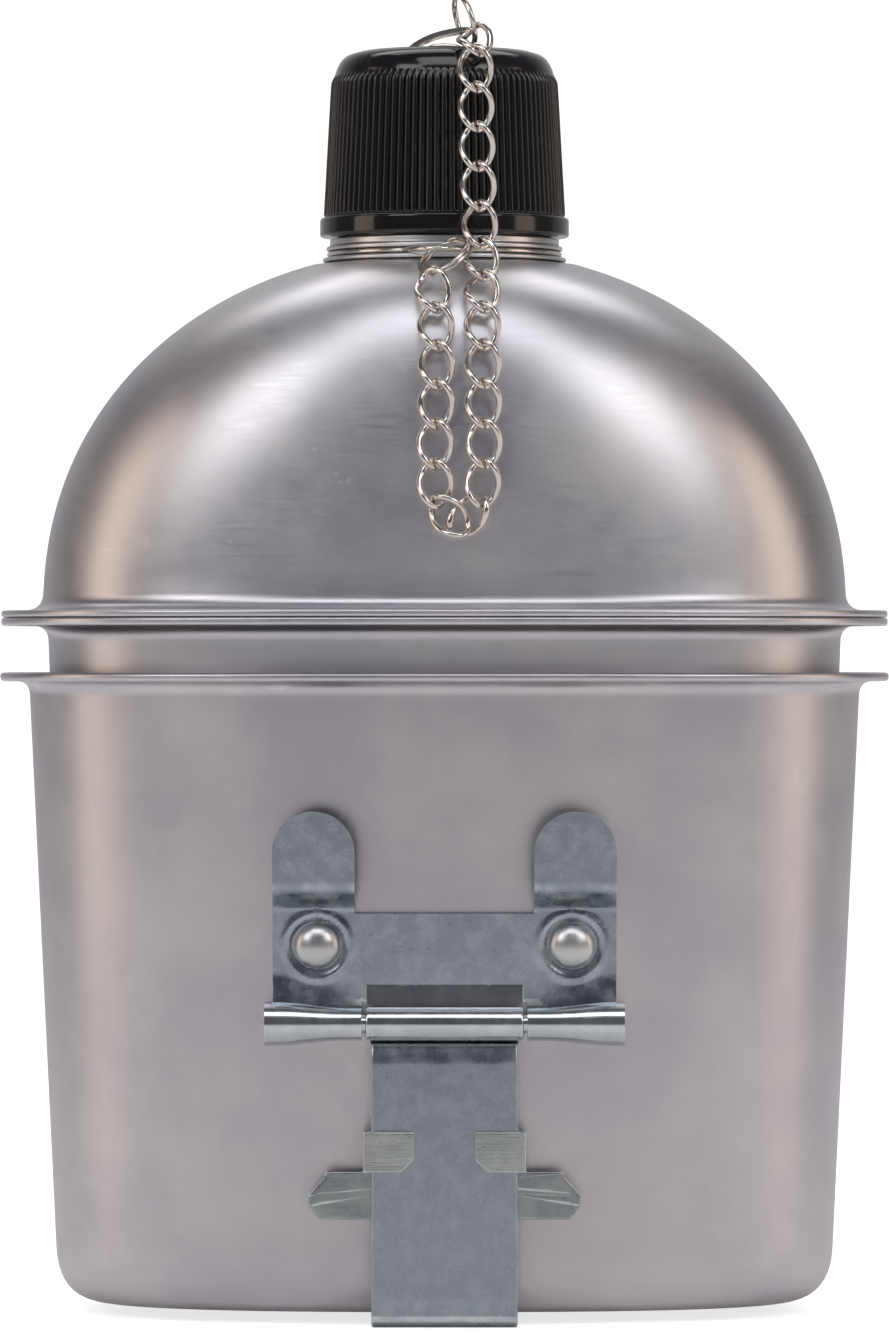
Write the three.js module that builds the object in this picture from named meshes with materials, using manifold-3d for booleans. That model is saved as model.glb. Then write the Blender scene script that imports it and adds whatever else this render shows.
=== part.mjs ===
// Aluminium canteen nested in its cup, with a chained screw cap and a fold-out cup handle.
// Millimetres, +Z up. Origin: on the standing surface, below the axis of the neck.
// The cup's handle bracket faces -Y, and the hollow back that lies against the hip faces +Y.
import * as THREE from "three";
import { mergeVertices } from "three/addons/utils/BufferGeometryUtils.js";
import Module from "manifold-3d";

const wasm = await Module();
wasm.setup();

// ---- driving dimensions ------------------------------------------------------------------
const GAP = 0.3; // between pieces that touch
const SHEET = 0.9; // drawn aluminium sheet of the cup and the canteen

// kidney-shaped plan, shared by the cup and the canteen
const PLAN_STEPS = 48;
const PLAN_POWER = 2.6; // superellipse exponent: 2 is an ellipse
const PLAN_SHIFT = 4; // the plan's centre lies behind the neck's axis
const PLAN_NARROWING = 27.5; // half width less half depth
const BACK_HOLLOW = 9; // depth of the hollow in the back
const HOLLOW_SPAN = 0.85; // its half width, as a share of the half width of the plan

// cup
const CUP_HALF = 62.3; // half width of the wall, carried down to Z = 0
const CUP_TAPER = 0.0476; // growth of the half width per mm of height
const CUP_FLOOR = 2.4; // underside
const CUP_CORNER = 6; // round edge of the bottom
const LIP_BOTTOM = 101.7;
const LIP_TOP = 103.1;
const LIP_WIDTH = 4.6;

// canteen
const PAN_HALF = 59.85;
const PAN_TAPER = 0.0388;
const PAN_FLOOR = CUP_FLOOR + SHEET + GAP;
const PAN_CORNER = 7;
const SEAM_Z = 111.85; // parting plane between the two flanges
const FLANGE = 1.1; // thickness of each flange
const FLANGE_HALF = 71.6; // half width over the seam
const DOME_Z = 113.5; // widest level of the dome
const DOME_HEIGHT = 58;
const DOME_HALF = 64.9;
const DOME_POWER = 2.12; // profile seen from the front
const DOME_SIDE_POWER = 3.2; // profile seen from the side
const DOME_TOP = 0.9534; // share of the full height at which the neck cuts the dome off
const NECK_HOLE = 19;

// neck, cap and its tab
const BORE = 14.2; // mouth radius
const THREAD_ROOT = 15.8;
const NECK_RIM = 197.2;
const GROOVE_Z = 170.5; // groove between the two beads, where the collar wire lies
const COLLAR_R = 18.6;
const COLLAR_WIRE = 0.4;
const EYE_REACH = 4; // how far the wire's eye stands out
const EYE_TURN = -1.63; // direction of the eye, radians from +X
const EYE_SPREAD = 0.3; // half its width, radians
const CAP_BASE = 173.3;
const CAP_TOP = 203.3;
const CAP_RING = 20.1; // radius of the plain base ring
const RIB_FOOT = 19.5; // radius over the ribs at their foot
const RIB_HEAD = 18.4;
const RECESS = 1.2; // depth of the recess in the top of the cap
const PLATE_R = 9.5; // tab's base plate
const PLATE_THICK = 0.8;

// chain
const WIRE = 0.525; // wire radius
const LINK_HALF = 3.75; // half length along the wire's centreline
const LINK_WIDE = 2.48; // half width along the wire's centreline
const LINK_TWIST = Math.PI / 4; // curb twist at each end
const LINK_BITE = 1.2; // distance between the wires of two neighbours where they cross
const CLEAR = 1.85; // centre of the chain above the surface that it lies on
const RIGHT_LINKS = 14;
const LEFT_LINKS = 7;

// hinge bracket, handle and lock slide
const HINGE_Z = 48;
const HINGE_OUT = 3; // axis from the wall
const PIN_R = 1.5;
const PIN_HALF = 27.8;
const KNUCKLE_R = 2.7;
const KNUCKLE_FLARE = 3.25; // outer end of the bracket's knuckles
const KNUCKLE_BORE = 1.7;
const KNUCKLE_INNER = 13;
const KNUCKLE_OUTER = 27.3;
const PLATE = 1.1; // bracket sheet
const EAR_INNER = 14.1;
const EAR_OUTER = 27;
const EAR_TOP = 81.4;
const EAR_BEND_LOW = 65.9;
const EAR_BEND_HIGH = 69.9;
const EAR_STEP = 3.9; // how far the ears stand out from the plate
const BRACKET_TOP = 65.3;
const RIVET_X = 20;
const RIVET_Z = 60.2;
const RIVET_R = 1.6;
const STRIP_HALF = 11.5;
const STRIP = 1.2;
const STRIP_BEND = 5; // outer radius where the strip turns under the cup
const GRIP_END = 24; // Y of the grip's free end
const SLIDE_BACK = [0.85, 1.85]; // slide plate, behind the hinge axis
const SLIDE_FRONT = [-1.85, -0.85]; // clips, in front of it
const SLIDE_Z = [17.2, 24.6, 31.2]; // foot of the wings, their head, and head of the clips
const WING_HALF = 21.4;
const CLIP_HALF = 12.8;
const CLIP_INNER = 4.8;

// ---- materials ---------------------------------------------------------------------------
const metal = (color, roughness) => new THREE.MeshStandardMaterial({ color, roughness, metalness: 1 });
const aluminium = metal(0xc9c6c8, 0.35);
const nickel = metal(0xb8afa8, 0.22);
const zinc = metal(0x9fb0b8, 0.3);
const blackPlastic = new THREE.MeshStandardMaterial({ color: 0x0b0b0d, roughness: 0.25, metalness: 0 });
const rubber = new THREE.MeshStandardMaterial({ color: 0x8d8478, roughness: 0.8, metalness: 0 });

const group = new THREE.Group();

function add(name, geometry, material) {
  const mesh = new THREE.Mesh(geometry, material);
  mesh.name = name;
  group.add(mesh);
  return mesh;
}

// ---- solids from rings of points ---------------------------------------------------------
const v = (x, y, z) => new THREE.Vector3(x, y, z);

function signedVolume(points, faces) {
  let sum = 0;
  for (let i = 0; i < faces.length; i += 3) {
    const [a, b, c] = [points[faces[i]], points[faces[i + 1]], points[faces[i + 2]]];
    sum += a.dot(b.clone().cross(c)) / 6;
  }
  return sum;
}

// Closed skin over rings of equal length. Endless: the last ring joins the first.
// Otherwise each end ring is closed by a fan about its middle.
function skin(rings, endless) {
  const count = rings[0].length;
  const points = rings.flat();
  const faces = [];
  const bands = endless ? rings.length : rings.length - 1;
  for (let r = 0; r < bands; r++) {
    const low = r * count;
    const high = ((r + 1) % rings.length) * count;
    for (let i = 0; i < count; i++) {
      const j = (i + 1) % count;
      faces.push(low + i, low + j, high + j, low + i, high + j, high + i);
    }
  }
  if (!endless) {
    const last = (rings.length - 1) * count;
    for (const [start, turn] of [[0, 1], [last, 0]]) {
      const ring = points.slice(start, start + count);
      const hub = points.push(ring.reduce((s, p) => s.add(p), v(0, 0, 0)).divideScalar(count)) - 1;
      for (let i = 0; i < count; i++) {
        const j = (i + 1) % count;
        faces.push(hub, start + (turn ? j : i), start + (turn ? i : j));
      }
    }
  }
  if (signedVolume(points, faces) < 0) faces.reverse();
  return indexed(points.flatMap((p) => [p.x, p.y, p.z]), faces);
}

function indexed(positions, faces) {
  const geometry = new THREE.BufferGeometry();
  geometry.setAttribute("position", new THREE.Float32BufferAttribute(positions, 3));
  geometry.setIndex(Array.from(faces));
  geometry.computeVertexNormals();
  return geometry;
}

// Round wire along a path, given as a list of points. The section is turned by the point's
// direction from the path's middle, so that a closed loop meets itself without a twist.
function wire(points, radius, sides, endless, middle) {
  const count = points.length;
  const rings = points.map((point, i) => {
    const before = points[endless ? (i + count - 1) % count : Math.max(i - 1, 0)];
    const after = points[endless ? (i + 1) % count : Math.min(i + 1, count - 1)];
    const along = after.clone().sub(before).normalize();
    const out = point.clone().sub(middle(point));
    out.addScaledVector(along, -out.dot(along)).normalize();
    const across = along.clone().cross(out);
    return Array.from({ length: sides }, (_, k) => {
      const turn = (2 * Math.PI * k) / sides;
      return point.clone().addScaledVector(out, radius * Math.cos(turn))
        .addScaledVector(across, radius * Math.sin(turn));
    });
  });
  return skin(rings, endless);
}

// ---- solids through the boolean library --------------------------------------------------
function toSolid(geometry) {
  const bare = geometry.clone();
  bare.deleteAttribute("normal");
  bare.deleteAttribute("uv");
  const merged = mergeVertices(bare, 1e-4);
  const vertProperties = new Float32Array(merged.attributes.position.array);
  const triVerts = new Uint32Array(merged.index.array);
  return new wasm.Manifold(new wasm.Mesh({ numProp: 3, vertProperties, triVerts }));
}

function toGeometry(solid) {
  const mesh = solid.getMesh();
  return indexed(Array.from(mesh.vertProperties), mesh.triVerts);
}

const box = (x0, x1, y0, y1, z0, z1) =>
  toSolid(new THREE.BoxGeometry(x1 - x0, y1 - y0, z1 - z0)
    .translate((x0 + x1) / 2, (y0 + y1) / 2, (z0 + z1) / 2));

// Outline in X and Z, extruded along Y from y0 to y1.
function prism(outline, y0, y1, curveSegments = 8) {
  const geometry = new THREE.ExtrudeGeometry(outline, { depth: y1 - y0, bevelEnabled: false, curveSegments });
  return toSolid(geometry.rotateX(Math.PI / 2).translate(0, y1, 0));
}

// Turned piece about Z, or about X when lying, from a closed profile of [radius, height].
function turned(profile, segments, lying = false) {
  const points = [...profile, profile[0]].map(([r, h]) => new THREE.Vector2(r, h));
  const geometry = new THREE.LatheGeometry(points, segments).rotateX(Math.PI / 2);
  if (lying) geometry.rotateY(Math.PI / 2);
  const solid = toSolid(geometry);
  if (solid.volume() > 0) return solid;
  const flipped = mergeVertices(geometry.deleteAttribute("normal").deleteAttribute("uv"), 1e-4);
  flipped.setIndex(Array.from(flipped.index.array).reverse());
  return toSolid(flipped);
}

// ---- the plan ----------------------------------------------------------------------------
// Superellipse with a hollow pressed into its back. fade runs from 0 at the walls to 1 at
// the neck, where the plan is a circle about the neck's axis.
function plan(halfWidth, halfDepth, z, fade = 0) {
  const power = PLAN_POWER - (PLAN_POWER - 2) * fade;
  const keep = 1 - fade * fade;
  return Array.from({ length: PLAN_STEPS }, (_, i) => {
    const turn = (2 * Math.PI * i) / PLAN_STEPS;
    const [c, s] = [Math.cos(turn), Math.sin(turn)];
    const reach = (Math.abs(c) ** power + Math.abs(s) ** power) ** (-1 / power);
    const x = halfWidth * reach * c;
    const across = Math.min(Math.abs(x) / (HOLLOW_SPAN * halfWidth), 1);
    const hollow = s > 0 ? BACK_HOLLOW * Math.cos((Math.PI / 2) * across) ** 2 : 0;
    return v(x, halfDepth * reach * s + (PLAN_SHIFT - hollow) * keep, z);
  });
}

// Points [inset, z] on an arc about [inset, z] in the wall's section, angles in degrees.
function arc(inset, z, radius, from, to, steps) {
  return Array.from({ length: steps + 1 }, (_, i) => {
    const turn = THREE.MathUtils.degToRad(from + ((to - from) * i) / steps);
    return [inset - radius * Math.cos(turn), z + radius * Math.sin(turn)];
  });
}

const wallRings = (half, taper, section) => section.map(([inset, z]) => {
  const width = half + taper * z - inset;
  return plan(width, width - PLAN_NARROWING, z);
});

const cupFront = (x, z) => {
  const width = CUP_HALF + CUP_TAPER * z;
  const depth = width - PLAN_NARROWING;
  return PLAN_SHIFT - depth * (1 - (Math.abs(x) / width) ** PLAN_POWER) ** (1 / PLAN_POWER);
};

const HINGE_Y = cupFront(0, HINGE_Z) - HINGE_OUT;

// ---- cup ---------------------------------------------------------------------------------
function cupBody() {
  const outside = [
    ...arc(CUP_CORNER, CUP_FLOOR + CUP_CORNER, CUP_CORNER, -90, 0, 5),
    [0, 40], [0, 72],
    ...arc(-1.6, LIP_BOTTOM - 1.6, 1.6, 180, 90, 2),
    [0.3 - LIP_WIDTH, LIP_BOTTOM],
    [-LIP_WIDTH, (LIP_BOTTOM + LIP_TOP) / 2],
    [0.3 - LIP_WIDTH, LIP_TOP],
  ];
  const inside = [
    ...arc(-1.4, LIP_TOP - 2.3, 2.3, 90, 180, 2),
    [SHEET, 72], [SHEET, 40],
    ...arc(CUP_CORNER, CUP_FLOOR + CUP_CORNER, CUP_CORNER - SHEET, 0, -90, 5),
  ];
  const solid = toSolid(skin(wallRings(CUP_HALF, CUP_TAPER, [...outside, ...inside]), false));
  const hole = turned([[0, -20], [RIVET_R + 0.15, -20], [RIVET_R + 0.15, 20], [0, 20]], 16);
  return [-RIVET_X, RIVET_X].reduce((cup, x) =>
    cup.subtract(hole.rotate([90, 0, 0]).translate([x, cupFront(0, RIVET_Z) - 5, RIVET_Z])), solid);
}
add("cup_body", toGeometry(cupBody()), aluminium);

// ---- canteen shells ----------------------------------------------------------------------
function lowerShell() {
  const flangeInset = PAN_HALF + PAN_TAPER * SEAM_Z - FLANGE_HALF;
  const top = SEAM_Z - GAP / 2;
  const outside = [
    ...arc(PAN_CORNER, PAN_FLOOR + PAN_CORNER, PAN_CORNER, -90, 0, 5),
    [0, 45], [0, 80],
    ...arc(-1.5, top - FLANGE - 1.5, 1.5, 180, 90, 2),
    [flangeInset + 0.9, top - FLANGE],
    [flangeInset + 0.6, top - FLANGE / 2],
    [flangeInset + 0.9, top],
  ];
  const inside = [
    [SHEET - 0.4, top], [SHEET, top - 1],
    [SHEET, 80], [SHEET, 45],
    ...arc(PAN_CORNER, PAN_FLOOR + PAN_CORNER, PAN_CORNER - SHEET, 0, -90, 5),
  ];
  return skin(wallRings(PAN_HALF, PAN_TAPER, [...outside, ...inside]), false);
}
add("canteen_lower_shell", lowerShell(), aluminium);

// One level of the dome, at a share of its height; shrink moves it inwards.
function domeRing(share, shrink) {
  const width = (DOME_HALF - shrink) * (1 - share ** DOME_POWER) ** (1 / DOME_POWER);
  const halfDepth = DOME_HALF - PLAN_NARROWING - shrink;
  const depth = halfDepth * (1 - share ** DOME_SIDE_POWER) ** (1 / DOME_SIDE_POWER);
  return plan(width, depth, DOME_Z + (DOME_HEIGHT - shrink) * share, share);
}

function circle(radius, z) {
  return Array.from({ length: PLAN_STEPS }, (_, i) => {
    const turn = (2 * Math.PI * i) / PLAN_STEPS;
    return v(radius * Math.cos(turn), radius * Math.sin(turn), z);
  });
}

function upperShell() {
  const bottom = SEAM_Z + GAP / 2;
  const steps = 10;
  const shares = Array.from({ length: steps + 1 }, (_, i) => Math.sin((i / steps) * Math.asin(DOME_TOP)));
  const level = (half, z) => plan(half, half - PLAN_NARROWING, z);
  const rings = [
    level(FLANGE_HALF - 0.3, bottom),
    level(FLANGE_HALF, bottom + FLANGE / 2),
    level(FLANGE_HALF - 0.3, bottom + FLANGE),
    level(DOME_HALF + 1.7, bottom + FLANGE),
    level(DOME_HALF + 0.5, bottom + FLANGE + 0.4),
    ...shares.slice(1).map((share) => domeRing(share, 0)),
    circle(NECK_HOLE, 169),
    circle(NECK_HOLE, 168.1),
    ...shares.slice(1).reverse().map((share) => domeRing(share, SHEET)),
    level(DOME_HALF - SHEET, bottom + FLANGE),
    level(DOME_HALF - SHEET, bottom),
  ];
  return skin(rings, true);
}
add("canteen_upper_shell", upperShell(), aluminium);

// ---- neck --------------------------------------------------------------------------------
add("neck_ferrule", toGeometry(turned([
  [BORE, 166.3], [20, 166.3], [20, 167.3], [18.7, 167.4], [18.7, 169.25],
  [19.4, 169.35], [19.6, 169.6], [19.4, 169.9], [17.9, 169.95],
  [17.9, 171.05], [18.8, 171.1], [19, 171.4], [18.8, 171.7], [18.5, 171.8],
  [18.5, 172.9], [THREAD_ROOT, 173], [THREAD_ROOT, NECK_RIM - 0.8],
  [THREAD_ROOT - 0.5, NECK_RIM], [BORE + 0.4, NECK_RIM], [BORE, NECK_RIM - 0.5],
], 40)), aluminium);

const COLLAR_STEPS = 64;
function collarPath() {
  return Array.from({ length: COLLAR_STEPS }, (_, i) => {
    const turn = EYE_TURN + (2 * Math.PI * (i + 0.5)) / COLLAR_STEPS;
    const away = Math.abs(Math.atan2(Math.sin(turn - EYE_TURN), Math.cos(turn - EYE_TURN)));
    const eye = away < EYE_SPREAD ? Math.cos(((Math.PI / 2) * away) / EYE_SPREAD) ** 1.3 : 0;
    const r = COLLAR_R + EYE_REACH * eye;
    return v(r * Math.cos(turn), r * Math.sin(turn), GROOVE_Z);
  });
}
add("neck_collar_wire", wire(collarPath(), COLLAR_WIRE, 6, true, () => v(0, 0, GROOVE_Z)), nickel);

// ---- cap ---------------------------------------------------------------------------------
add("cap_shell", toGeometry(turned([
  [17.4, CAP_BASE], [CAP_RING - 0.3, CAP_BASE], [CAP_RING, CAP_BASE + 0.4],
  [CAP_RING, CAP_BASE + 2.5], [RIB_FOOT, CAP_BASE + 2.9],
  [RIB_HEAD, CAP_TOP - 6], [17.6, CAP_TOP - 2.6], [16.2, CAP_TOP - 0.6], [15, CAP_TOP],
  [12.4, CAP_TOP], [12, CAP_TOP - RECESS], [1.9, CAP_TOP - RECESS],
  [1.9, CAP_TOP - 4], [17.2, CAP_TOP - 4],
], 48)), blackPlastic);

add("cap_liner", toGeometry(turned([
  [4.4, NECK_RIM + GAP], [16.9, NECK_RIM + GAP], [16.9, CAP_TOP - 4 - GAP], [4.4, CAP_TOP - 4 - GAP],
], 40)), rubber);

// tab: a base plate in the cap's recess, with a tongue that arches up to the connecting ring
const TONGUE_Y = -6.6;
const TONGUE_HALF = 2.8;
function capTab() {
  const low = CAP_TOP - RECESS + GAP;
  const plate = turned([[1.9, low], [PLATE_R, low], [PLATE_R, low + PLATE_THICK], [1.9, low + PLATE_THICK]], 36);
  const arch = new THREE.Shape();
  arch.moveTo(-6.6, low);
  arch.quadraticCurveTo(-2.8, 206.4, 4.6, 206.7);
  arch.lineTo(4.6, 205.85);
  arch.quadraticCurveTo(-2.4, 205.5, -5.5, low);
  arch.closePath();
  const tongue = prism(arch, TONGUE_Y - TONGUE_HALF, TONGUE_Y + TONGUE_HALF);
  const hole = turned([[0, 204.5], [1.3, 204.5], [1.3, 208], [0, 208]], 16).translate([2.3, TONGUE_Y, 0]);
  return plate.add(tongue).subtract(hole);
}
add("cap_tab", toGeometry(capTab()), nickel);

const headLow = CAP_TOP - RECESS + 2 * GAP + PLATE_THICK;
add("tab_rivet", toGeometry(turned([
  [0, CAP_TOP - 5.8], [1.6, CAP_TOP - 5.8], [1.6, headLow], [3, headLow],
  [2.6, headLow + 0.7], [1.5, headLow + 1.1], [0, headLow + 1.2],
], 20)), nickel);
add("tab_washer", toGeometry(turned([
  [1.9, CAP_TOP - 5.1], [3.9, CAP_TOP - 5.1], [3.9, CAP_TOP - 4 - GAP], [1.9, CAP_TOP - 4 - GAP],
], 24)), nickel);

// ---- chain -------------------------------------------------------------------------------
// Front of the dome at a height, at its middle.
function domeFront(z) {
  const share = (z - DOME_Z) / DOME_HEIGHT;
  const halfDepth = DOME_HALF - PLAN_NARROWING;
  return PLAN_SHIFT * (1 - share * share) -
    halfDepth * (1 - share ** DOME_SIDE_POWER) ** (1 / DOME_SIDE_POWER);
}
const onDome = (x, z) => v(x, domeFront(z) - CLEAR, z);

// Routes of the two runs, from the bottom of the loop upwards.
const rightRoute = new THREE.CatmullRomCurve3([
  onDome(6.2, 128), onDome(6.3, 134), onDome(6.2, 141), onDome(6.1, 148), onDome(6, 155),
  v(5.9, -30.6, 161.5), v(5.8, -26.3, 167.2), v(5.6, -23, 172.6), v(5.4, -21.8, 179), v(5.1, -21, 188),
  v(4.9, -20.2, 197), v(4.8, -19.3, 201.6), v(4.8, -16.6, 205), v(4.8, -12, 206.6), v(4.8, -8, 207),
], false, "centripetal");
const leftRoute = new THREE.CatmullRomCurve3([
  onDome(-1.9, 126), onDome(-1.7, 133), onDome(-1.4, 141), onDome(-1.2, 148), onDome(-1.2, 154),
  v(-1.5, -31, 161), v(-2.3, -27.8, 167), v(-3, -26, 172), v(-3.4, -25, 178),
], false, "centripetal");
const loopFoot = onDome(2.2, 124.9).add(v(0, -0.5, 0));

// Ends of each link of a run, found by stepping up the route a link's length at a time.
function climb(route, start, count) {
  const links = [];
  let foot = start;
  let share = 0;
  const reach = (from) => {
    let head = route.getPoint(share);
    for (let s = share; head.distanceTo(from) < 2 * LINK_HALF; s += 0.0005) head = route.getPoint(s);
    return head;
  };
  for (let i = 0; i < count; i++) {
    const head = reach(foot);
    const up = head.clone().sub(foot).normalize();
    links.push({ foot, head, up });
    while (route.getPoint(share).distanceTo(foot) < LINK_HALF) share += 0.0005;
    const next = reach(head.clone().addScaledVector(up, -LINK_BITE)).sub(head).normalize();
    const between = up.clone().add(next).normalize();
    foot = head.clone().addScaledVector(between, -LINK_BITE / between.dot(up) ** 2);
  }
  return links;
}

function linkPath({ foot, head, up }, facing) {
  const out = facing.clone().addScaledVector(up, -facing.dot(up)).normalize();
  const side = up.clone().cross(out);
  const middle = foot.clone().add(head).divideScalar(2);
  return Array.from({ length: 14 }, (_, i) => {
    const turn = (2 * Math.PI * (i + 0.5)) / 14;
    const twist = LINK_TWIST * Math.sin(turn);
    const wide = LINK_WIDE * Math.cos(turn);
    return middle.clone().addScaledVector(side, wide * Math.cos(twist))
      .addScaledVector(out, wide * Math.sin(twist)).addScaledVector(up, LINK_HALF * Math.sin(turn));
  });
}

function addLink(number, link) {
  const facing = v(1, 0, 0).cross(link.up);
  const path = linkPath(link, Math.abs(link.up.x) > 0.3 ? v(0, -1, 0) : facing.negate());
  const middle = link.foot.clone().add(link.head).divideScalar(2);
  add(`chain_link_${String(number).padStart(2, "0")}`, wire(path, WIRE, 6, true, () => middle), nickel);
}

const half = v(0.98, -0.82, 0);
const rightRun = climb(rightRoute, loopFoot.clone().sub(half), RIGHT_LINKS).reverse();
const leftRun = climb(leftRoute, loopFoot.clone().add(half), LEFT_LINKS);
[...rightRun, ...leftRun].forEach((link, i) => addLink(i + 1, link));

// connecting ring, through the tongue's hole and the first link
const RING_R = 4.1;
const RING_WIRE = 0.45;
const RING_MIDDLE = v(3.23, -10.89, 207.52);
const RING_AXIS = v(-0.919, -0.279, -0.284).normalize();
function connectingRing() {
  const up = v(0, 0, 1).addScaledVector(RING_AXIS, -RING_AXIS.z).normalize();
  const across = up.clone().cross(RING_AXIS);
  const path = Array.from({ length: 28 }, (_, i) => {
    const turn = (2 * Math.PI * i) / 28;
    return RING_MIDDLE.clone().addScaledVector(across, RING_R * Math.cos(turn))
      .addScaledVector(up, RING_R * Math.sin(turn));
  });
  return wire(path, RING_WIRE, 6, true, () => RING_MIDDLE);
}
add("connecting_ring", connectingRing(), nickel);

// split ring: two coils of wire, through the collar wire's eye and the last link
const SPLIT_R = 4.3;
const SPLIT_WIRE = 0.28;
const SPLIT_RISE = 0.59; // from one coil to the next
const SPLIT_MIDDLE = v(-0.09, -24.46, 169.03);
const SPLIT_AXIS = v(-0.499, -0.449, 0.741).normalize();
function splitRing() {
  const across = v(0, 1, 0).addScaledVector(SPLIT_AXIS, -SPLIT_AXIS.y).normalize();
  const slant = SPLIT_AXIS.clone().cross(across);
  const coil = Array.from({ length: 48 }, (_, i) => {
    const turns = (1.92 * i) / 47;
    const turn = 2 * Math.PI * turns;
    return SPLIT_MIDDLE.clone().addScaledVector(across, SPLIT_R * Math.cos(turn))
      .addScaledVector(slant, SPLIT_R * Math.sin(turn))
      .addScaledVector(SPLIT_AXIS, SPLIT_RISE * (THREE.MathUtils.smoothstep(turns, 0.86, 1.06) - 0.5));
  });
  return wire(coil, SPLIT_WIRE, 6, false, () => SPLIT_MIDDLE);
}
add("split_ring", splitRing(), nickel);

// ---- bracket -----------------------------------------------------------------------------
// Sheet that follows the cup's wall: a grid in X and Z between two offsets from the wall.
// out(z) is the distance of its inner face from the wall.
function wallSheet(xs, zs, out, thickness) {
  const rings = zs.map((z) => {
    const inner = xs.map((x) => v(x, cupFront(x, z) - out(z), z));
    const outer = xs.map((x) => v(x, cupFront(x, z) - out(z) - thickness, z));
    return [...inner, ...outer.reverse()];
  });
  return toSolid(skin(rings, false));
}

const span = (from, to, steps) => Array.from({ length: steps + 1 }, (_, i) => from + ((to - from) * i) / steps);

function bracketOutline() {
  const shape = new THREE.Shape();
  const earMiddle = (EAR_INNER + EAR_OUTER) / 2;
  const earHalf = (EAR_OUTER - EAR_INNER) / 2;
  shape.moveTo(-EAR_OUTER, HINGE_Z - 1);
  shape.lineTo(EAR_OUTER, HINGE_Z - 1);
  shape.lineTo(EAR_OUTER, EAR_TOP - earHalf);
  shape.absarc(earMiddle, EAR_TOP - earHalf, earHalf, 0, Math.PI, false);
  shape.lineTo(EAR_INNER, BRACKET_TOP);
  shape.lineTo(-EAR_INNER, BRACKET_TOP);
  shape.lineTo(-EAR_INNER, EAR_TOP - earHalf);
  shape.absarc(-earMiddle, EAR_TOP - earHalf, earHalf, 0, Math.PI, false);
  shape.closePath();
  return shape;
}

function knuckle(side) {
  const x = (share) => KNUCKLE_INNER + (KNUCKLE_OUTER - KNUCKLE_INNER) * share;
  const profile = [
    [KNUCKLE_BORE, x(0)], [KNUCKLE_R, x(0)], [KNUCKLE_R + 0.1, x(0.6)],
    [KNUCKLE_FLARE, x(0.85)], [KNUCKLE_FLARE, x(1)], [KNUCKLE_BORE, x(1)],
  ].map(([r, along]) => [r, side * along]);
  return turned(profile, 24, true).translate([0, HINGE_Y, HINGE_Z]);
}

function bracket() {
  const step = (z) => GAP + EAR_STEP * THREE.MathUtils.smoothstep(z, EAR_BEND_LOW, EAR_BEND_HIGH);
  const heights = [HINGE_Z - 2, 56, EAR_BEND_LOW, ...span(EAR_BEND_LOW, EAR_BEND_HIGH, 5).slice(1), EAR_TOP + 1];
  const sheet = wallSheet(span(-28, 28, 16), heights, step, PLATE);
  const slot = box(-KNUCKLE_INNER, KNUCKLE_INNER, -60, 0, HINGE_Z - 5, HINGE_Z + 3.4);
  const lipY = cupFront(0, 52) - GAP - PLATE;
  const lip = box(-12.4, 12.4, lipY - 1, lipY + 0.6, 51.4, 53.8);
  const bore = turned([[0, -40], [KNUCKLE_BORE, -40], [KNUCKLE_BORE, 40], [0, 40]], 24, true)
    .translate([0, HINGE_Y, HINGE_Z]);
  const rivetHole = turned([[0, -20], [RIVET_R + 0.2, -20], [RIVET_R + 0.2, 20], [0, 20]], 16)
    .rotate([90, 0, 0]);
  return sheet.intersect(prism(bracketOutline(), -60, -10)).subtract(slot)
    .add(knuckle(-1)).add(knuckle(1)).add(lip).subtract(bore)
    .subtract(rivetHole.translate([-RIVET_X, HINGE_Y, RIVET_Z]))
    .subtract(rivetHole.translate([RIVET_X, HINGE_Y, RIVET_Z]));
}
add("hinge_bracket", toGeometry(bracket()), zinc);

// rivets through bracket and cup wall, each clenched over a washer inside the cup
for (const [name, x] of [["left", -RIVET_X], ["right", RIVET_X]]) {
  const wall = cupFront(x, RIVET_Z);
  const face = wall - 2 * GAP - PLATE - 0.15;
  const back = wall + SHEET + 2 * GAP;
  const shank = [
    [0, face - 1.9], [1.5, face - 1.6], [2.5, face - 0.8], [2.9, face], [RIVET_R, face],
    [RIVET_R, back + 0.9], [1.5, back + 1.15], [0, back + 1.15],
  ];
  const along = (profile) => turned(profile, 20).rotate([-90, 0, 0]).translate([x, 0, RIVET_Z]);
  add(`bracket_rivet_${name}`, toGeometry(along(shank)), aluminium);
  add(`rivet_washer_${name}`, toGeometry(along(
    [[RIVET_R + 0.25, back], [3.2, back], [3.2, back + 0.5], [RIVET_R + 0.25, back + 0.5]])), aluminium);
}

add("hinge_pin", toGeometry(turned([
  [0, -PIN_HALF - 0.5], [1.9, -PIN_HALF - 0.5], [2.1, -PIN_HALF], [PIN_R, -PIN_HALF],
  [PIN_R, PIN_HALF], [2.1, PIN_HALF], [1.9, PIN_HALF + 0.5], [0, PIN_HALF + 0.5],
], 24, true).translate([0, HINGE_Y, HINGE_Z])), zinc);

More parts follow.
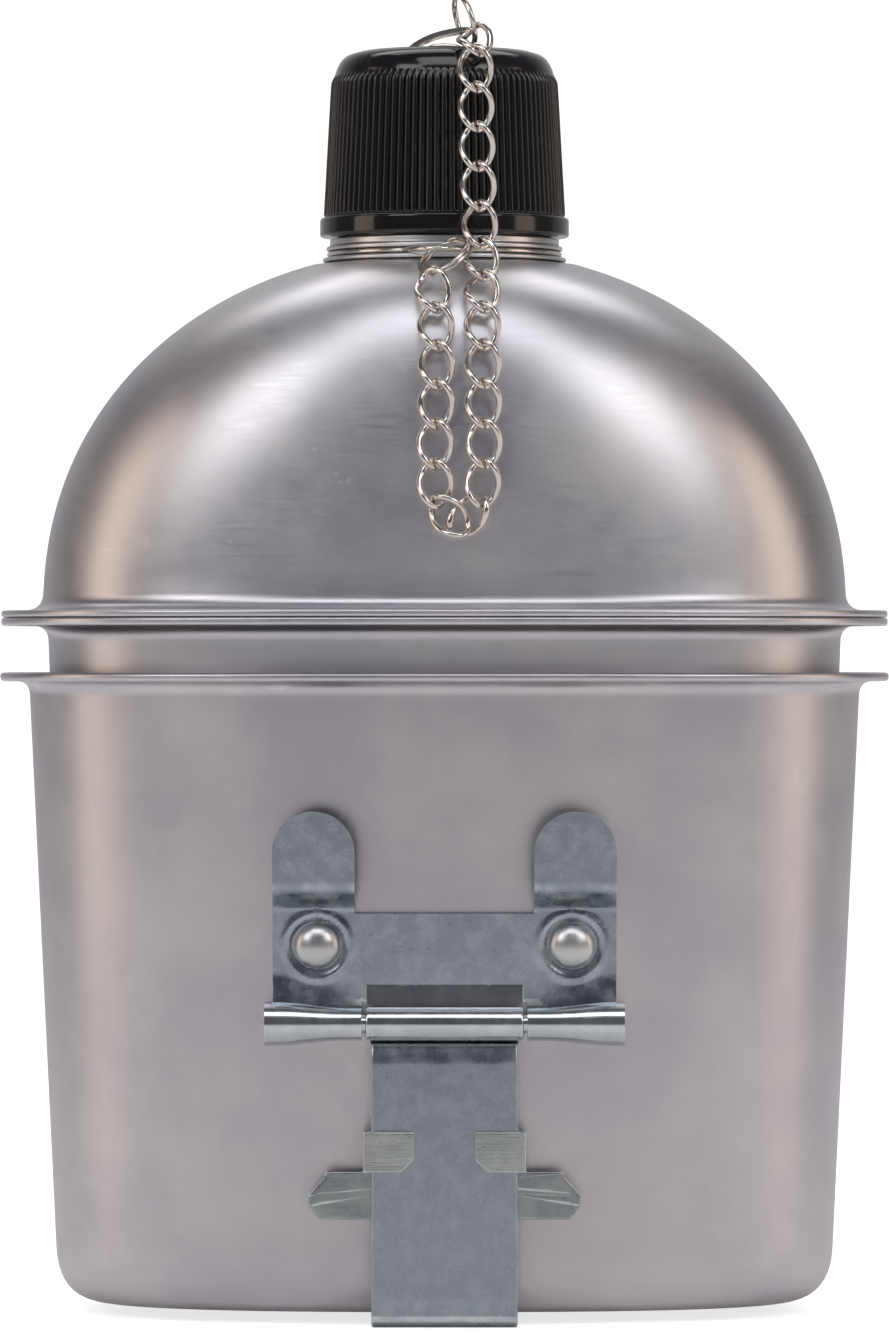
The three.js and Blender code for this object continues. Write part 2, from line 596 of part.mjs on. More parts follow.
// ---- handle ------------------------------------------------------------------------------
// Strip seen from the side, drawn in Y and Z: down from the knuckle, round, and along to the grip's end.
function handle() {
  const [front, back] = [HINGE_Y - STRIP / 2, HINGE_Y + STRIP / 2];
  const path = new THREE.Shape();
  path.moveTo(front, HINGE_Z);
  path.lineTo(front, STRIP_BEND);
  path.absarc(front + STRIP_BEND, STRIP_BEND, STRIP_BEND, Math.PI, 1.5 * Math.PI, false);
  path.lineTo(GRIP_END, 0);
  path.lineTo(GRIP_END, STRIP);
  path.lineTo(front + STRIP_BEND, STRIP);
  path.absarc(front + STRIP_BEND, STRIP_BEND, STRIP_BEND - STRIP, 1.5 * Math.PI, Math.PI, true);
  path.lineTo(back, HINGE_Z);
  path.closePath();
  const geometry = new THREE.ExtrudeGeometry(path, { depth: 2 * STRIP_HALF, bevelEnabled: false, curveSegments: 6 });
  // shape X and Y become world Y and Z, and the extrusion runs along X
  geometry.applyMatrix4(new THREE.Matrix4().set(0, 0, 1, -STRIP_HALF, 1, 0, 0, 0, 0, 1, 0, 0, 0, 0, 0, 1));
  const curl = turned([
    [KNUCKLE_BORE, -12.7], [KNUCKLE_R - 0.1, -12.7], [KNUCKLE_R - 0.1, 12.7], [KNUCKLE_BORE, 12.7],
  ], 24, true).translate([0, HINGE_Y, HINGE_Z]);
  const bore = turned([[0, -40], [KNUCKLE_BORE, -40], [KNUCKLE_BORE, 40], [0, 40]], 24, true)
    .translate([0, HINGE_Y, HINGE_Z]);
  const corner = new THREE.Shape();
  const round = 10;
  corner.moveTo(STRIP_HALF, -60);
  corner.lineTo(STRIP_HALF, GRIP_END - round);
  corner.absarc(STRIP_HALF - round, GRIP_END - round, round, 0, Math.PI / 2, false);
  corner.absarc(round - STRIP_HALF, GRIP_END - round, round, Math.PI / 2, Math.PI, false);
  corner.lineTo(-STRIP_HALF, -60);
  corner.closePath();
  const outline = toSolid(new THREE.ExtrudeGeometry(corner, { depth: 80, bevelEnabled: false, curveSegments: 6 })
    .translate(0, 0, -10));
  return toSolid(geometry).intersect(outline).add(curl).subtract(bore);
}
add("handle", toGeometry(handle()), zinc);

// ---- lock slide --------------------------------------------------------------------------
// Plate behind the strip with two wings, folded round the strip's edges into two front clips.
function lockSlide() {
  const [foot, wingHead, head] = SLIDE_Z;
  const at = ([a, b]) => [HINGE_Y + a, HINGE_Y + b];
  const plate = new THREE.Shape();
  const corner = 2.5;
  plate.moveTo(0, foot);
  plate.lineTo(WING_HALF - 1.5, foot);
  plate.absarc(WING_HALF - 1.5, foot + 1.5, 1.5, -Math.PI / 2, 0, false);
  plate.lineTo(WING_HALF, wingHead - corner);
  plate.lineTo(WING_HALF - corner, wingHead);
  plate.lineTo(CLIP_HALF, wingHead);
  plate.lineTo(CLIP_HALF, head);
  plate.lineTo(-CLIP_HALF, head);
  plate.lineTo(-CLIP_HALF, wingHead);
  plate.lineTo(corner - WING_HALF, wingHead);
  plate.lineTo(-WING_HALF, wingHead - corner);
  plate.lineTo(-WING_HALF, foot + 1.5);
  plate.absarc(1.5 - WING_HALF, foot + 1.5, 1.5, Math.PI, 1.5 * Math.PI, false);
  plate.closePath();
  let slide = prism(plate, ...at(SLIDE_BACK));
  for (const side of [-1, 1]) {
    const clip = new THREE.Shape();
    clip.moveTo(side * CLIP_HALF, wingHead);
    clip.lineTo(side * (CLIP_INNER + 1.8), wingHead);
    clip.lineTo(side * CLIP_INNER, wingHead + 1.8);
    clip.lineTo(side * CLIP_INNER, head);
    clip.lineTo(side * CLIP_HALF, head);
    clip.closePath();
    const wall = [side * (STRIP_HALF + 0.3), side * CLIP_HALF].sort((a, b) => a - b);
    slide = slide.add(prism(clip, ...at(SLIDE_FRONT)))
      .add(box(...wall, HINGE_Y + SLIDE_FRONT[0], HINGE_Y + SLIDE_BACK[1], wingHead, head));
  }
  return slide;
}
add("lock_slide", toGeometry(lockSlide()), zinc);

export default group;
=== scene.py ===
"""Aluminium canteen nested in its cup, with a ribbed screw cap on a curb chain and a cup handle that
folds under. Each section below is one piece of the object. Lengths are in millimetres until a
surface is made, and then in metres. Z is up and the handle faces -Y."""
import bmesh
import bpy
import math
import numpy as np
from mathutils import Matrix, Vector


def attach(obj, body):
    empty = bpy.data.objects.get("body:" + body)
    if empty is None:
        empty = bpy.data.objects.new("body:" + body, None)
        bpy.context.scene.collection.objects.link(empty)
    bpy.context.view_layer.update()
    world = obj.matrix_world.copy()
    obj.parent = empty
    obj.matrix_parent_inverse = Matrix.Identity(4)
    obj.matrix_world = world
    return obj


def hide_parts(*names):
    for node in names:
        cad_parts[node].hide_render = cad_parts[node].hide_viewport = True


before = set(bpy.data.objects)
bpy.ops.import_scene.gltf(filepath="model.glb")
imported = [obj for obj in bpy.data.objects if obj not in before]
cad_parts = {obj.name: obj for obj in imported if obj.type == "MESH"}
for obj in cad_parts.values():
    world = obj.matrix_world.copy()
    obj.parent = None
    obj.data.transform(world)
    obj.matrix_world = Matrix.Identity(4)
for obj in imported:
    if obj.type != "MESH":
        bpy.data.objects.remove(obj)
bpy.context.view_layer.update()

# ==== Cup body ================================================================================
# One deep-drawn cup of 0.9 mm aluminium with a kidney-shaped plan, a round bottom edge and a flat
# lip turned outwards. The outside is brushed up and down.
CUP_HALF, CUP_TAPER, CUP_FLOOR = 62.3, 0.0476, 1.7
NARROWING, SHIFT, HOLLOW, SPAN, POWER = 27.5, 4.0, 9.0, 0.85, 2.6


def plan(half, depth, z, fade=0.0, columns=384):
    """Rows of the kidney-shaped plan, one for each value of half, depth, z and fade.
    x = half r cos t, y = depth r sin t + (SHIFT - hollow)(1 - fade^2), where r makes a superellipse
    whose power falls from 2.6 to 2 as fade rises, and hollow = HOLLOW cos^2(pi/2 x/(SPAN half))
    in the back half."""
    half, depth, z, fade = (np.atleast_1d(np.asarray(a, float))[:, None] for a in
                            np.broadcast_arrays(half, depth, z, fade))
    turn = np.arange(columns) * 2 * np.pi / columns
    c, s = np.cos(turn)[None], np.sin(turn)[None]
    power = POWER - (POWER - 2) * fade
    reach = (np.abs(c) ** power + np.abs(s) ** power) ** (-1 / power)
    x = half * reach * c
    across = np.minimum(np.abs(x) / (SPAN * np.maximum(half, 1e-6)), 1)
    hollow = np.where(s > 0, HOLLOW * np.cos(np.pi / 2 * across) ** 2, 0)
    y = depth * reach * s + (SHIFT - hollow) * (1 - fade ** 2)
    return np.stack([x, y, z + 0 * x], -1)


def fillet(points, radius, steps=7):
    """Rounds the corners of an open polygon: at corner P the curve (1-t)^2 A + 2t(1-t) P + t^2 B,
    with A and B at a distance `radius` from P along its two sides. The two ends stay."""
    p = np.asarray(points, float)
    back, ahead = p[:-2] - p[1:-1], p[2:] - p[1:-1]
    far = np.linalg.norm(back, axis=1, keepdims=True), np.linalg.norm(ahead, axis=1, keepdims=True)
    r = np.broadcast_to(np.asarray(radius, float), len(p) - 2)[:, None]
    a = p[1:-1] + back / far[0] * np.minimum(r, far[0] * 0.49)
    b = p[1:-1] + ahead / far[1] * np.minimum(r, far[1] * 0.49)
    t = np.linspace(0, 1, steps)[None, :, None]
    curve = (1 - t) ** 2 * a[:, None] + 2 * t * (1 - t) * p[1:-1, None] + t ** 2 * b[:, None]
    return np.concatenate([p[:1], curve.reshape(-1, p.shape[1]), p[-1:]])


def densify(points, step):
    """Adds points along a path so that no two are further apart than about `step`."""
    p = np.asarray(points, float)
    along = np.concatenate([[0], np.cumsum(np.linalg.norm(np.diff(p, axis=0), axis=1))])
    even = np.linspace(0, along[-1], int(along[-1] / step) + 2)
    at = np.unique(np.round(np.concatenate([along, even]), 6))
    return np.stack([np.interp(at, along, p[:, k]) for k in range(p.shape[1])], 1)


def surface(name, rows, body, material, stands_for=(), loop=False, flat=False, sharp=38):
    """A grid of points in mm (rows, columns, 3) becomes a mesh in metres. Each row is closed, and
    loop joins the last row to the first. Points that coincide are merged. flat keeps the shading
    of large flat faces even up to their round edges."""
    count, width = rows.shape[:2]
    r = np.arange(count if loop else count - 1)[:, None]
    c = np.arange(width)[None]
    up, right = (r + 1) % count, (c + 1) % width
    faces = np.stack([r * width + c, r * width + right, up * width + right, up * width + c], -1)
    mesh = bpy.data.meshes.new(name)
    mesh.from_pydata(rows.reshape(-1, 3) * 0.001, [], faces.reshape(-1, 4).tolist())
    tidy = bmesh.new()
    tidy.from_mesh(mesh)
    bmesh.ops.remove_doubles(tidy, verts=tidy.verts, dist=1e-7)
    bmesh.ops.dissolve_degenerate(tidy, edges=tidy.edges, dist=1e-8)
    bmesh.ops.recalc_face_normals(tidy, faces=tidy.faces)
    tidy.to_mesh(mesh)
    tidy.free()
    mesh.shade_smooth()
    mesh.set_sharp_from_angle(angle=math.radians(sharp))
    piece = bpy.data.objects.new(name, mesh)
    bpy.context.scene.collection.objects.link(piece)
    mesh.materials.append(material)
    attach(piece, body)
    if stands_for:
        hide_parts(*stands_for)
    if flat:
        piece.modifiers.new("flat_faces", "WEIGHTED_NORMAL").keep_sharp = True
    return piece


def paint_highlight_faces(piece, material, where):
    """Gives a second material to the faces whose middles, in mm, pass the test. Here it is always the lighter
    zinc, a painted highlight.
    """
    mesh = piece.data
    mesh.materials.append(material)
    middles = np.zeros(len(mesh.polygons) * 3)
    mesh.polygons.foreach_get("center", middles)
    chosen = where(*(middles.reshape(-1, 3).T * 1000)).astype(np.int32)
    mesh.polygons.foreach_set("material_index", chosen)


def add(tree, kind, sockets=None, **settings):
    """A shader node. A socket's value is a constant, or an output that is linked to it."""
    made = tree.nodes.new(kind)
    for key, value in settings.items():
        setattr(made, key, value)
    for key, value in (sockets or {}).items():
        if isinstance(value, bpy.types.NodeSocket):
            tree.links.new(value, made.inputs[key])
        else:
            made.inputs[key].default_value = value
    return made


def ramp(tree, value, low, high, to_low=0.0, to_high=1.0, smooth=True):
    made = add(tree, "ShaderNodeMapRange", {"Value": value, "From Min": low, "From Max": high,
                                            "To Min": to_low, "To Max": to_high})
    made.interpolation_type = "SMOOTHSTEP" if smooth else "LINEAR"
    return made.outputs["Result"]


def new_group(name, inputs, outputs):
    """An empty node group with named inputs (name, kind, value) and outputs (name, kind)."""
    tree = bpy.data.node_groups.new(name, "ShaderNodeTree")
    for label, kind, value in inputs:
        tree.interface.new_socket(label, in_out="INPUT", socket_type=kind).default_value = value
    for label, kind in outputs:
        tree.interface.new_socket(label, in_out="OUTPUT", socket_type=kind)
    return tree, tree.nodes.new("NodeGroupInput").outputs, tree.nodes.new("NodeGroupOutput").inputs


def use_group(tree, group, sockets=None):
    made = add(tree, "ShaderNodeGroup", node_tree=group)
    for key, value in (sockets or {}).items():
        if isinstance(value, bpy.types.NodeSocket):
            tree.links.new(value, made.inputs[key])
        else:
            made.inputs[key].default_value = value
    return made.outputs


def brush_group():
    """Brushing: noise drawn out along one axis, in two sizes, with a few deeper single scratches.
    Stretch multiplies the coordinate, so a small number makes the marks long on that axis."""
    tree, given, out = new_group(
        "brushed_grain",
        [("Stretch", "NodeSocketVector", (1, 1, 0.05)), ("Scale", "NodeSocketFloat", 1500),
         ("Scratches", "NodeSocketFloat", 0.5)],
        [("Height", "NodeSocketFloat"), ("Scratch", "NodeSocketFloat")])
    place = add(tree, "ShaderNodeTexCoord").outputs["Object"]
    drawn = add(tree, "ShaderNodeVectorMath", {0: place, 1: given["Stretch"]},
                operation="MULTIPLY").outputs[0]
    fine = add(tree, "ShaderNodeTexNoise", {"Vector": drawn, "Scale": given["Scale"], "Detail": 5,
                                            "Roughness": 0.65}).outputs[0]
    sparse = add(tree, "ShaderNodeMath", {0: given["Scale"], 1: 0.23}, operation="MULTIPLY").outputs[0]
    marks = add(tree, "ShaderNodeTexNoise", {"Vector": drawn, "Scale": sparse, "Detail": 2,
                                             "Roughness": 0.5, "Distortion": 0.6}).outputs[0]
    scratch = ramp(tree, marks, 0.66, 0.72)
    scratch = add(tree, "ShaderNodeMath", {0: scratch, 1: given["Scratches"]},
                  operation="MULTIPLY").outputs[0]
    tree.links.new(add(tree, "ShaderNodeMath", {0: fine, 1: scratch}, operation="SUBTRACT").outputs[0],
                   out["Height"])
    tree.links.new(scratch, out["Scratch"])
    return tree


def patch_group():
    """Handling marks: soft cloudy patches at two sizes, and tiny specks."""
    tree, given, out = new_group(
        "handling_marks", [("Size", "NodeSocketFloat", 40), ("Specks", "NodeSocketFloat", 0.5)],
        [("Cloud", "NodeSocketFloat"), ("Speck", "NodeSocketFloat")])
    place = add(tree, "ShaderNodeTexCoord").outputs["Object"]
    cloud = add(tree, "ShaderNodeTexNoise", {"Vector": place, "Scale": given["Size"], "Detail": 4,
                                             "Roughness": 0.6}).outputs[0]
    dots = add(tree, "ShaderNodeTexNoise", {"Vector": place, "Scale": 900, "Detail": 2}).outputs[0]
    speck = add(tree, "ShaderNodeMath", {0: ramp(tree, dots, 0.69, 0.74), 1: given["Specks"]},
                operation="MULTIPLY").outputs[0]
    tree.links.new(cloud, out["Cloud"])
    tree.links.new(speck, out["Speck"])
    return tree


def edge_group():
    """Edge mask: 1 on outer edges, from the mesh's pointiness, broken up by noise. It marks worn edges, and
    on the metals also a painted edge highlight.
    """
    tree, given, out = new_group(
        "edge_wear_and_highlight", [("Start", "NodeSocketFloat", 0.52), ("End", "NodeSocketFloat", 0.58)],
        [("Edge", "NodeSocketFloat")])
    bend = add(tree, "ShaderNodeNewGeometry").outputs["Pointiness"]
    place = add(tree, "ShaderNodeTexCoord").outputs["Object"]
    broken = add(tree, "ShaderNodeTexNoise", {"Vector": place, "Scale": 260, "Detail": 3}).outputs[0]
    edge = add(tree, "ShaderNodeMapRange", {"Value": bend, "From Min": given["Start"],
                                            "From Max": given["End"]}).outputs[0]
    edge = add(tree, "ShaderNodeMath", {0: edge, 1: ramp(tree, broken, 0.25, 0.6, 0.5, 1.0)},
               operation="MULTIPLY").outputs[0]
    tree.links.new(edge, out["Edge"])
    return tree


BRUSH, PATCH, EDGE = brush_group(), patch_group(), edge_group()


def metal(name, colour, tint, rough, stretch=(1, 1, 0.03), scale=1500, depth=0.02, scratches=0.5,
          cloud_size=40, cloud=0.06, specks=0.4, edge=0.25, anisotropic=0.0):
    """Bare or plated metal. Brushing goes to bump height and roughness, handling marks to colour and
    roughness. Edges are lighter in colour: partly wear, partly a painted bright edge highlight."""
    made = bpy.data.materials.new(name)
    made.use_nodes = True
    tree = made.node_tree
    shader = tree.nodes["Principled BSDF"]
    shader.inputs["Metallic"].default_value = 1.0
    shader.inputs["Anisotropic"].default_value = anisotropic
    brush = use_group(tree, BRUSH, {"Stretch": stretch, "Scale": scale, "Scratches": scratches})
    marks = use_group(tree, PATCH, {"Size": cloud_size, "Specks": specks})
    edge_mask = use_group(tree, EDGE)["Edge"]
    clouded = add(tree, "ShaderNodeMix", {0: ramp(tree, marks["Cloud"], 0.35, 0.68), 6: (*colour, 1),
                                          7: (*tint, 1)}, data_type="RGBA").outputs[2]
    # Edges go towards near white: worn edges, and a painted edge highlight.
    worn_edge_and_highlight = add(tree, "ShaderNodeMath", {0: edge_mask, 1: edge}, operation="MULTIPLY").outputs[0]
    lit = add(tree, "ShaderNodeMix", {0: worn_edge_and_highlight, 6: clouded, 7: (0.93, 0.93, 0.93, 1)},
              data_type="RGBA").outputs[2]
    tree.links.new(lit, shader.inputs["Base Color"])
    grainy = ramp(tree, brush["Height"], 0.2, 0.8, rough - 0.05, rough + 0.05, smooth=False)
    cloudy = ramp(tree, marks["Cloud"], 0.3, 0.7, -cloud, cloud, smooth=False)
    total = add(tree, "ShaderNodeMath", {0: grainy, 1: cloudy}, operation="ADD").outputs[0]
    total = add(tree, "ShaderNodeMath", {0: total, 1: add(tree, "ShaderNodeMath", {
        0: marks["Speck"], 1: 0.2}, operation="MULTIPLY").outputs[0]}, operation="ADD").outputs[0]
    tree.links.new(total, shader.inputs["Roughness"])
    height = add(tree, "ShaderNodeMath", {0: brush["Height"], 1: marks["Speck"]},
                 operation="SUBTRACT").outputs[0]
    bump = add(tree, "ShaderNodeBump", {"Height": height, "Strength": 1.0,
                                        "Distance": depth * 0.001}).outputs[0]
    tree.links.new(bump, shader.inputs["Normal"])
    return made


cup_metal = metal("cup_aluminium", (0.56, 0.535, 0.57), (0.65, 0.62, 0.63), 0.36,
                  stretch=(1, 1, 0.02), scale=2600, depth=0.010, scratches=0.5, cloud=0.05)


def wall_rows(half, taper, section, columns=384):
    """Rows of a drawn wall from its section (inset from the wall's line, height)."""
    width = half + taper * section[:, 1] - section[:, 0]
    return plan(width, width - NARROWING, section[:, 1], columns=columns)


def to_middle(rows, first, steps=10):
    """Rows that carry the first or last row on to a point on the neck's axis, for a flat floor."""
    edge = rows[0] if first else rows[-1]
    hub = np.array([0, SHIFT - HOLLOW / 2, edge[0, 2]])
    share = np.linspace(0, 1, steps + 1)[:-1, None, None]
    fan = hub + (edge - hub) * share
    return np.concatenate([fan, rows]) if first else np.concatenate([rows, fan[::-1]])


def cup_rows():
    outside = fillet([(16, CUP_FLOOR), (0, CUP_FLOOR), (0, 101.7), (-4.6, 101.7), (-4.6, 103.1), (0.9, 103.1),
                      (0.9, 3.3), (16, 3.3)], [8.6, 2.2, 0.65, 0.65, 2.6, 7.6], steps=12)
    return to_middle(to_middle(wall_rows(CUP_HALF, CUP_TAPER, densify(outside, 2.5)), True), False)


surface("cup_body_skin", cup_rows(), "cup", cup_metal, ["cup_body"])

# ==== Canteen, lower shell ====================================================================
# A drawn pan of the same sheet that stands inside the cup. Its flange is the lower half of the
# seam round the canteen, and its wall shows between the seam and the cup's lip.
PAN_HALF, PAN_TAPER = 59.85, 0.0388
shell_metal = metal("shell_aluminium", (0.60, 0.585, 0.615), (0.68, 0.655, 0.67), 0.37,
                    stretch=(0.05, 0.05, 1), scale=3600, depth=0.006, scratches=0.3, cloud=0.04)


def pan_rows():
    flange = PAN_HALF + PAN_TAPER * 111 - 71.6
    section = fillet([(17, 3.6), (0, 3.6), (0, 110.6), (flange, 110.6), (flange, 111.9), (0.9, 111.9),
                      (0.9, 4.5), (17, 4.5)], [9.6, 2.4, 0.5, 0.5, 0.8, 8.6], steps=12)
    return to_middle(to_middle(wall_rows(PAN_HALF, PAN_TAPER, densify(section, 2.5)), True), False)


surface("canteen_pan_skin", pan_rows(), "bottle", shell_metal, ["canteen_lower_shell"])

# ==== Canteen, upper shell ====================================================================
# The drawn dome, wide and kidney-shaped at the seam and round where it meets the neck. Its flange
# is rolled down over the lower one. Light spin marks run round it.
DOME_Z, DOME_HEIGHT, DOME_HALF, DOME_TOP = 113.5, 58.0, 64.9, 0.9534


def dome_rows(shrink, steps=90):
    """Share u of the height: half = (H - shrink)(1 - u^2.12)^(1/2.12), and depth the same way with
    power 3.2. The plan fades to a circle as u grows."""
    u = np.sin(np.linspace(0, 1, steps) * math.asin(DOME_TOP))
    half = (DOME_HALF - shrink) * (1 - u ** 2.12) ** (1 / 2.12)
    depth = (DOME_HALF - NARROWING - shrink) * (1 - u ** 3.2) ** (1 / 3.2)
    return plan(half, depth, DOME_Z + (DOME_HEIGHT - shrink) * u, u)


def shell_rows():
    edge = fillet([(63.6, 111.97), (71.6, 111.97), (71.6, 113.1), (65.09, 113.15), (64.744, 118.3)],
                  [0.5, 0.5, 3.0], steps=15)
    share = np.clip((edge[:, 1] - DOME_Z) / DOME_HEIGHT, 0, 1)
    skirt = plan(edge[:, 0], edge[:, 0] - NARROWING + 1.9 * share, edge[:, 1], share)
    turn = np.arange(384) * 2 * np.pi / 384
    hole = np.stack([19 * np.cos(turn), 19 * np.sin(turn), 0 * turn], -1)[None]
    return np.concatenate([skirt, dome_rows(0)[7:], hole + (0, 0, 169), hole + (0, 0, 168.1),
                           dome_rows(0.9)[::-1]])


surface("canteen_dome_skin", shell_rows(), "bottle", shell_metal,
        ["canteen_upper_shell"], loop=True)

# ==== Neck ====================================================================================
# A turned aluminium neck rolled into the dome: two round beads with a groove for the collar wire,
# a plain collar, and a coarse right-hand thread that rises 5.04 mm in a turn.
PITCH = 5.04


def turned(profile, columns=192, lying=False):
    """Rows of a profile (radius, height) turned about Z, or about X when lying."""
    turn = np.arange(columns) * 2 * np.pi / columns
    r, h = np.asarray(profile, float).T[:, :, None]
    x, y, z = r * np.cos(turn), r * np.sin(turn), h + 0 * turn
    return np.stack([z, x, y] if lying else [x, y, z], -1)


def threaded(rows, low, high, height, offset=0.0):
    """Pushes a helical ridge out of turned rows between two levels (negative height: inwards).
    The ridge's middle is where (z/pitch - turn/2pi - offset) is whole, with a round crest."""
    x, y, z = np.moveaxis(rows, -1, 0)
    radius = np.hypot(x, y)
    phase = z / PITCH - np.arctan2(y, x) / (2 * np.pi) - offset
    crest = np.clip(np.cos(2 * np.pi * phase) * 1.6 - 0.25, 0, 1)
    fade = np.clip((z - low) / 1.2, 0, 1) * np.clip((high - z) / 1.2, 0, 1)
    grow = (radius + height * crest * fade) / np.maximum(radius, 1e-9)
    return np.stack([x * grow, y * grow, z], -1)


def neck_rows():
    profile = fillet([(14.2, 180), (14.2, 166.3), (20, 166.3), (20, 167.3), (18.8, 167.5), (18.7, 169.2),
                      (19.65, 169.3), (19.65, 169.95), (17.9, 169.95), (17.9, 171.05), (19.05, 171.05),
                      (19.05, 171.75), (18.5, 171.85), (18.5, 172.95), (15.8, 173), (15.8, 197.2),
                      (14.2, 197.2), (14.2, 180)],
                     [0.3, 0.4, 0.4, 0.4, 0.2, 0.32, 0.32, 0.2, 0.2, 0.3, 0.3, 0.2, 0.3, 0.3, 0.7, 0.7],
                     steps=6)
    outer = threaded(turned(densify(profile, 0.35)), 174.2, 196.0, 1.0)
    inner = np.hypot(outer[..., 0], outer[..., 1]) > 14.9
    return np.where(inner[..., None], outer, turned(densify(profile, 0.35)))


neck_metal = metal("neck_aluminium", (0.68, 0.67, 0.68), (0.73, 0.72, 0.73), 0.34,
                   stretch=(0.05, 0.05, 1), scale=3000, depth=0.010, edge=0.5)
surface("neck_turned", neck_rows(), "bottle", neck_metal, ["neck_ferrule"])

# ==== Collar wire =============================================================================
# A loop of nickelled wire drawn tight in the neck's groove, with an eye bent out of it for the
# split ring.
EYE_TURN, EYE_SPREAD, EYE_REACH = -1.63, 0.3, 4.0


def tube(path, radius, middle, sides=16, closed=True):
    """Round wire along a path. The section starts in the direction away from middle."""
    p = np.asarray(path, float)
    if closed:
        along = np.roll(p, -1, 0) - np.roll(p, 1, 0)
    else:
        along = np.gradient(p, axis=0)
    along /= np.linalg.norm(along, axis=1, keepdims=True)
    out = p - middle
    out -= np.sum(out * along, 1, keepdims=True) * along
    out /= np.linalg.norm(out, axis=1, keepdims=True)
    across = np.cross(along, out)
    turn = (np.arange(sides) * 2 * np.pi / sides)[None, :, None]
    rows = p[:, None] + radius * (np.cos(turn) * out[:, None] + np.sin(turn) * across[:, None])
    if closed:
        return rows
    return np.concatenate([p[:1, None] + 0 * rows[:1], rows, p[-1:, None] + 0 * rows[:1]])


nickel = metal("nickel_wire", (0.66, 0.60, 0.55), (0.74, 0.69, 0.64), 0.14, stretch=(1, 1, 1),
               scale=900, depth=0.012, scratches=0.4, cloud_size=320, cloud=0.06, edge=0.3)
turn = EYE_TURN + np.linspace(0, 2 * np.pi, 360, endpoint=False)
away = np.abs(np.angle(np.exp(1j * (turn - EYE_TURN))))
reach = 18.6 + EYE_REACH * np.where(away < EYE_SPREAD, np.cos(np.minimum(
    np.pi / 2 * away / EYE_SPREAD, np.pi / 2)).clip(0) ** 1.3, 0)
collar = np.stack([reach * np.cos(turn), reach * np.sin(turn), 170.5 + 0 * turn], 1)
surface("collar_wire", tube(collar, 0.4, (0, 0, 170.5)), "bottle", nickel,
        ["neck_collar_wire"], loop=True)

# ==== Cap =====================================================================================
# Screw cap moulded in glossy black plastic: a plain base ring, ninety-six fine ribs that lean in
# towards the top, a round shoulder and a shallow recess for the tab. The thread is inside.
RIBS, RIB_DEPTH = 96, 0.42


def plastic():
    """Gloss black moulding. Slight waviness and wiped dust change roughness; the colour lifts a
    little where ribs have been rubbed."""
    made = bpy.data.materials.new("black_moulding")
    made.use_nodes = True
    tree = made.node_tree
    shader = tree.nodes["Principled BSDF"]
    shader.inputs["IOR"].default_value = 1.5
    shader.inputs["Coat Roughness"].default_value = 0.08
    shader.inputs["Coat Weight"].default_value = 0.3
    marks = use_group(tree, PATCH, {"Size": 70, "Specks": 0.5})
    edge_mask = use_group(tree, EDGE, {"Start": 0.53, "End": 0.62})["Edge"]
    colour = add(tree, "ShaderNodeMix", {0: edge_mask, 6: (0.0045, 0.0045, 0.006, 1), 7: (0.02, 0.02, 0.022, 1)},
                 data_type="RGBA").outputs[2]
    tree.links.new(colour, shader.inputs["Base Color"])
    tree.links.new(ramp(tree, marks["Cloud"], 0.3, 0.7, 0.10, 0.2), shader.inputs["Roughness"])
    bump = add(tree, "ShaderNodeBump", {"Height": add(tree, "ShaderNodeMath", {
        0: marks["Cloud"], 1: marks["Speck"]}, operation="SUBTRACT").outputs[0],
        "Strength": 0.6, "Distance": 0.00003}).outputs[0]
    tree.links.new(bump, shader.inputs["Normal"])
    return made


def cap_rows():
    """Turned profile, with ribs r + depth (cos(96 t)/2 + 1/2)^0.45 above the base ring, faded out
    below the shoulder, and a helical ridge inside."""
    profile = fillet([(17.3, 186), (17.3, 173.3), (20.1, 173.3), (20.1, 176.3), (19.1, 176.6),
                      (17.95, 197.4), (17.7, 200.0), (16.3, 202.5), (13.4, 203.3), (12.0, 202.1),
                      (1.9, 202.1), (1.9, 199.3), (17.2, 199.3), (17.3, 186)],
                     [0.4, 0.5, 0.5, 0.3, 1.5, 2.2, 2.2, 0.4, 0.3, 0.3, 0.2, 0.6], steps=9)
    rows = turned(densify(profile, 0.8), columns=1152)
    x, y, z = np.moveaxis(rows, -1, 0)
    radius, angle = np.hypot(x, y), np.arctan2(y, x)
    fade = np.clip((z - 176.5) / 0.35, 0, 1) * np.clip((199.2 - z) / 1.0, 0, 1) ** 0.6
    rib = RIB_DEPTH * (0.5 + 0.5 * np.cos(RIBS * angle)) ** 0.45 * fade * (radius > 17.6)
    grow = (radius + rib) / np.maximum(radius, 1e-9)
    ribbed = np.stack([x * grow, y * grow, z], -1)
    inside = (radius < 17.4) & (radius > 17.1) & (z < 199)
    return np.where(inside[..., None], threaded(rows, 174.5, 196, -0.95, offset=0.5), ribbed)


cap_plastic = plastic()
surface("cap_moulding", cap_rows(), "cap", cap_plastic, ["cap_shell"], sharp=50)

# ==== Cap liner ===============================================================================
# Grey-brown rubber washer pressed into the cap, which seals on the neck's rim.


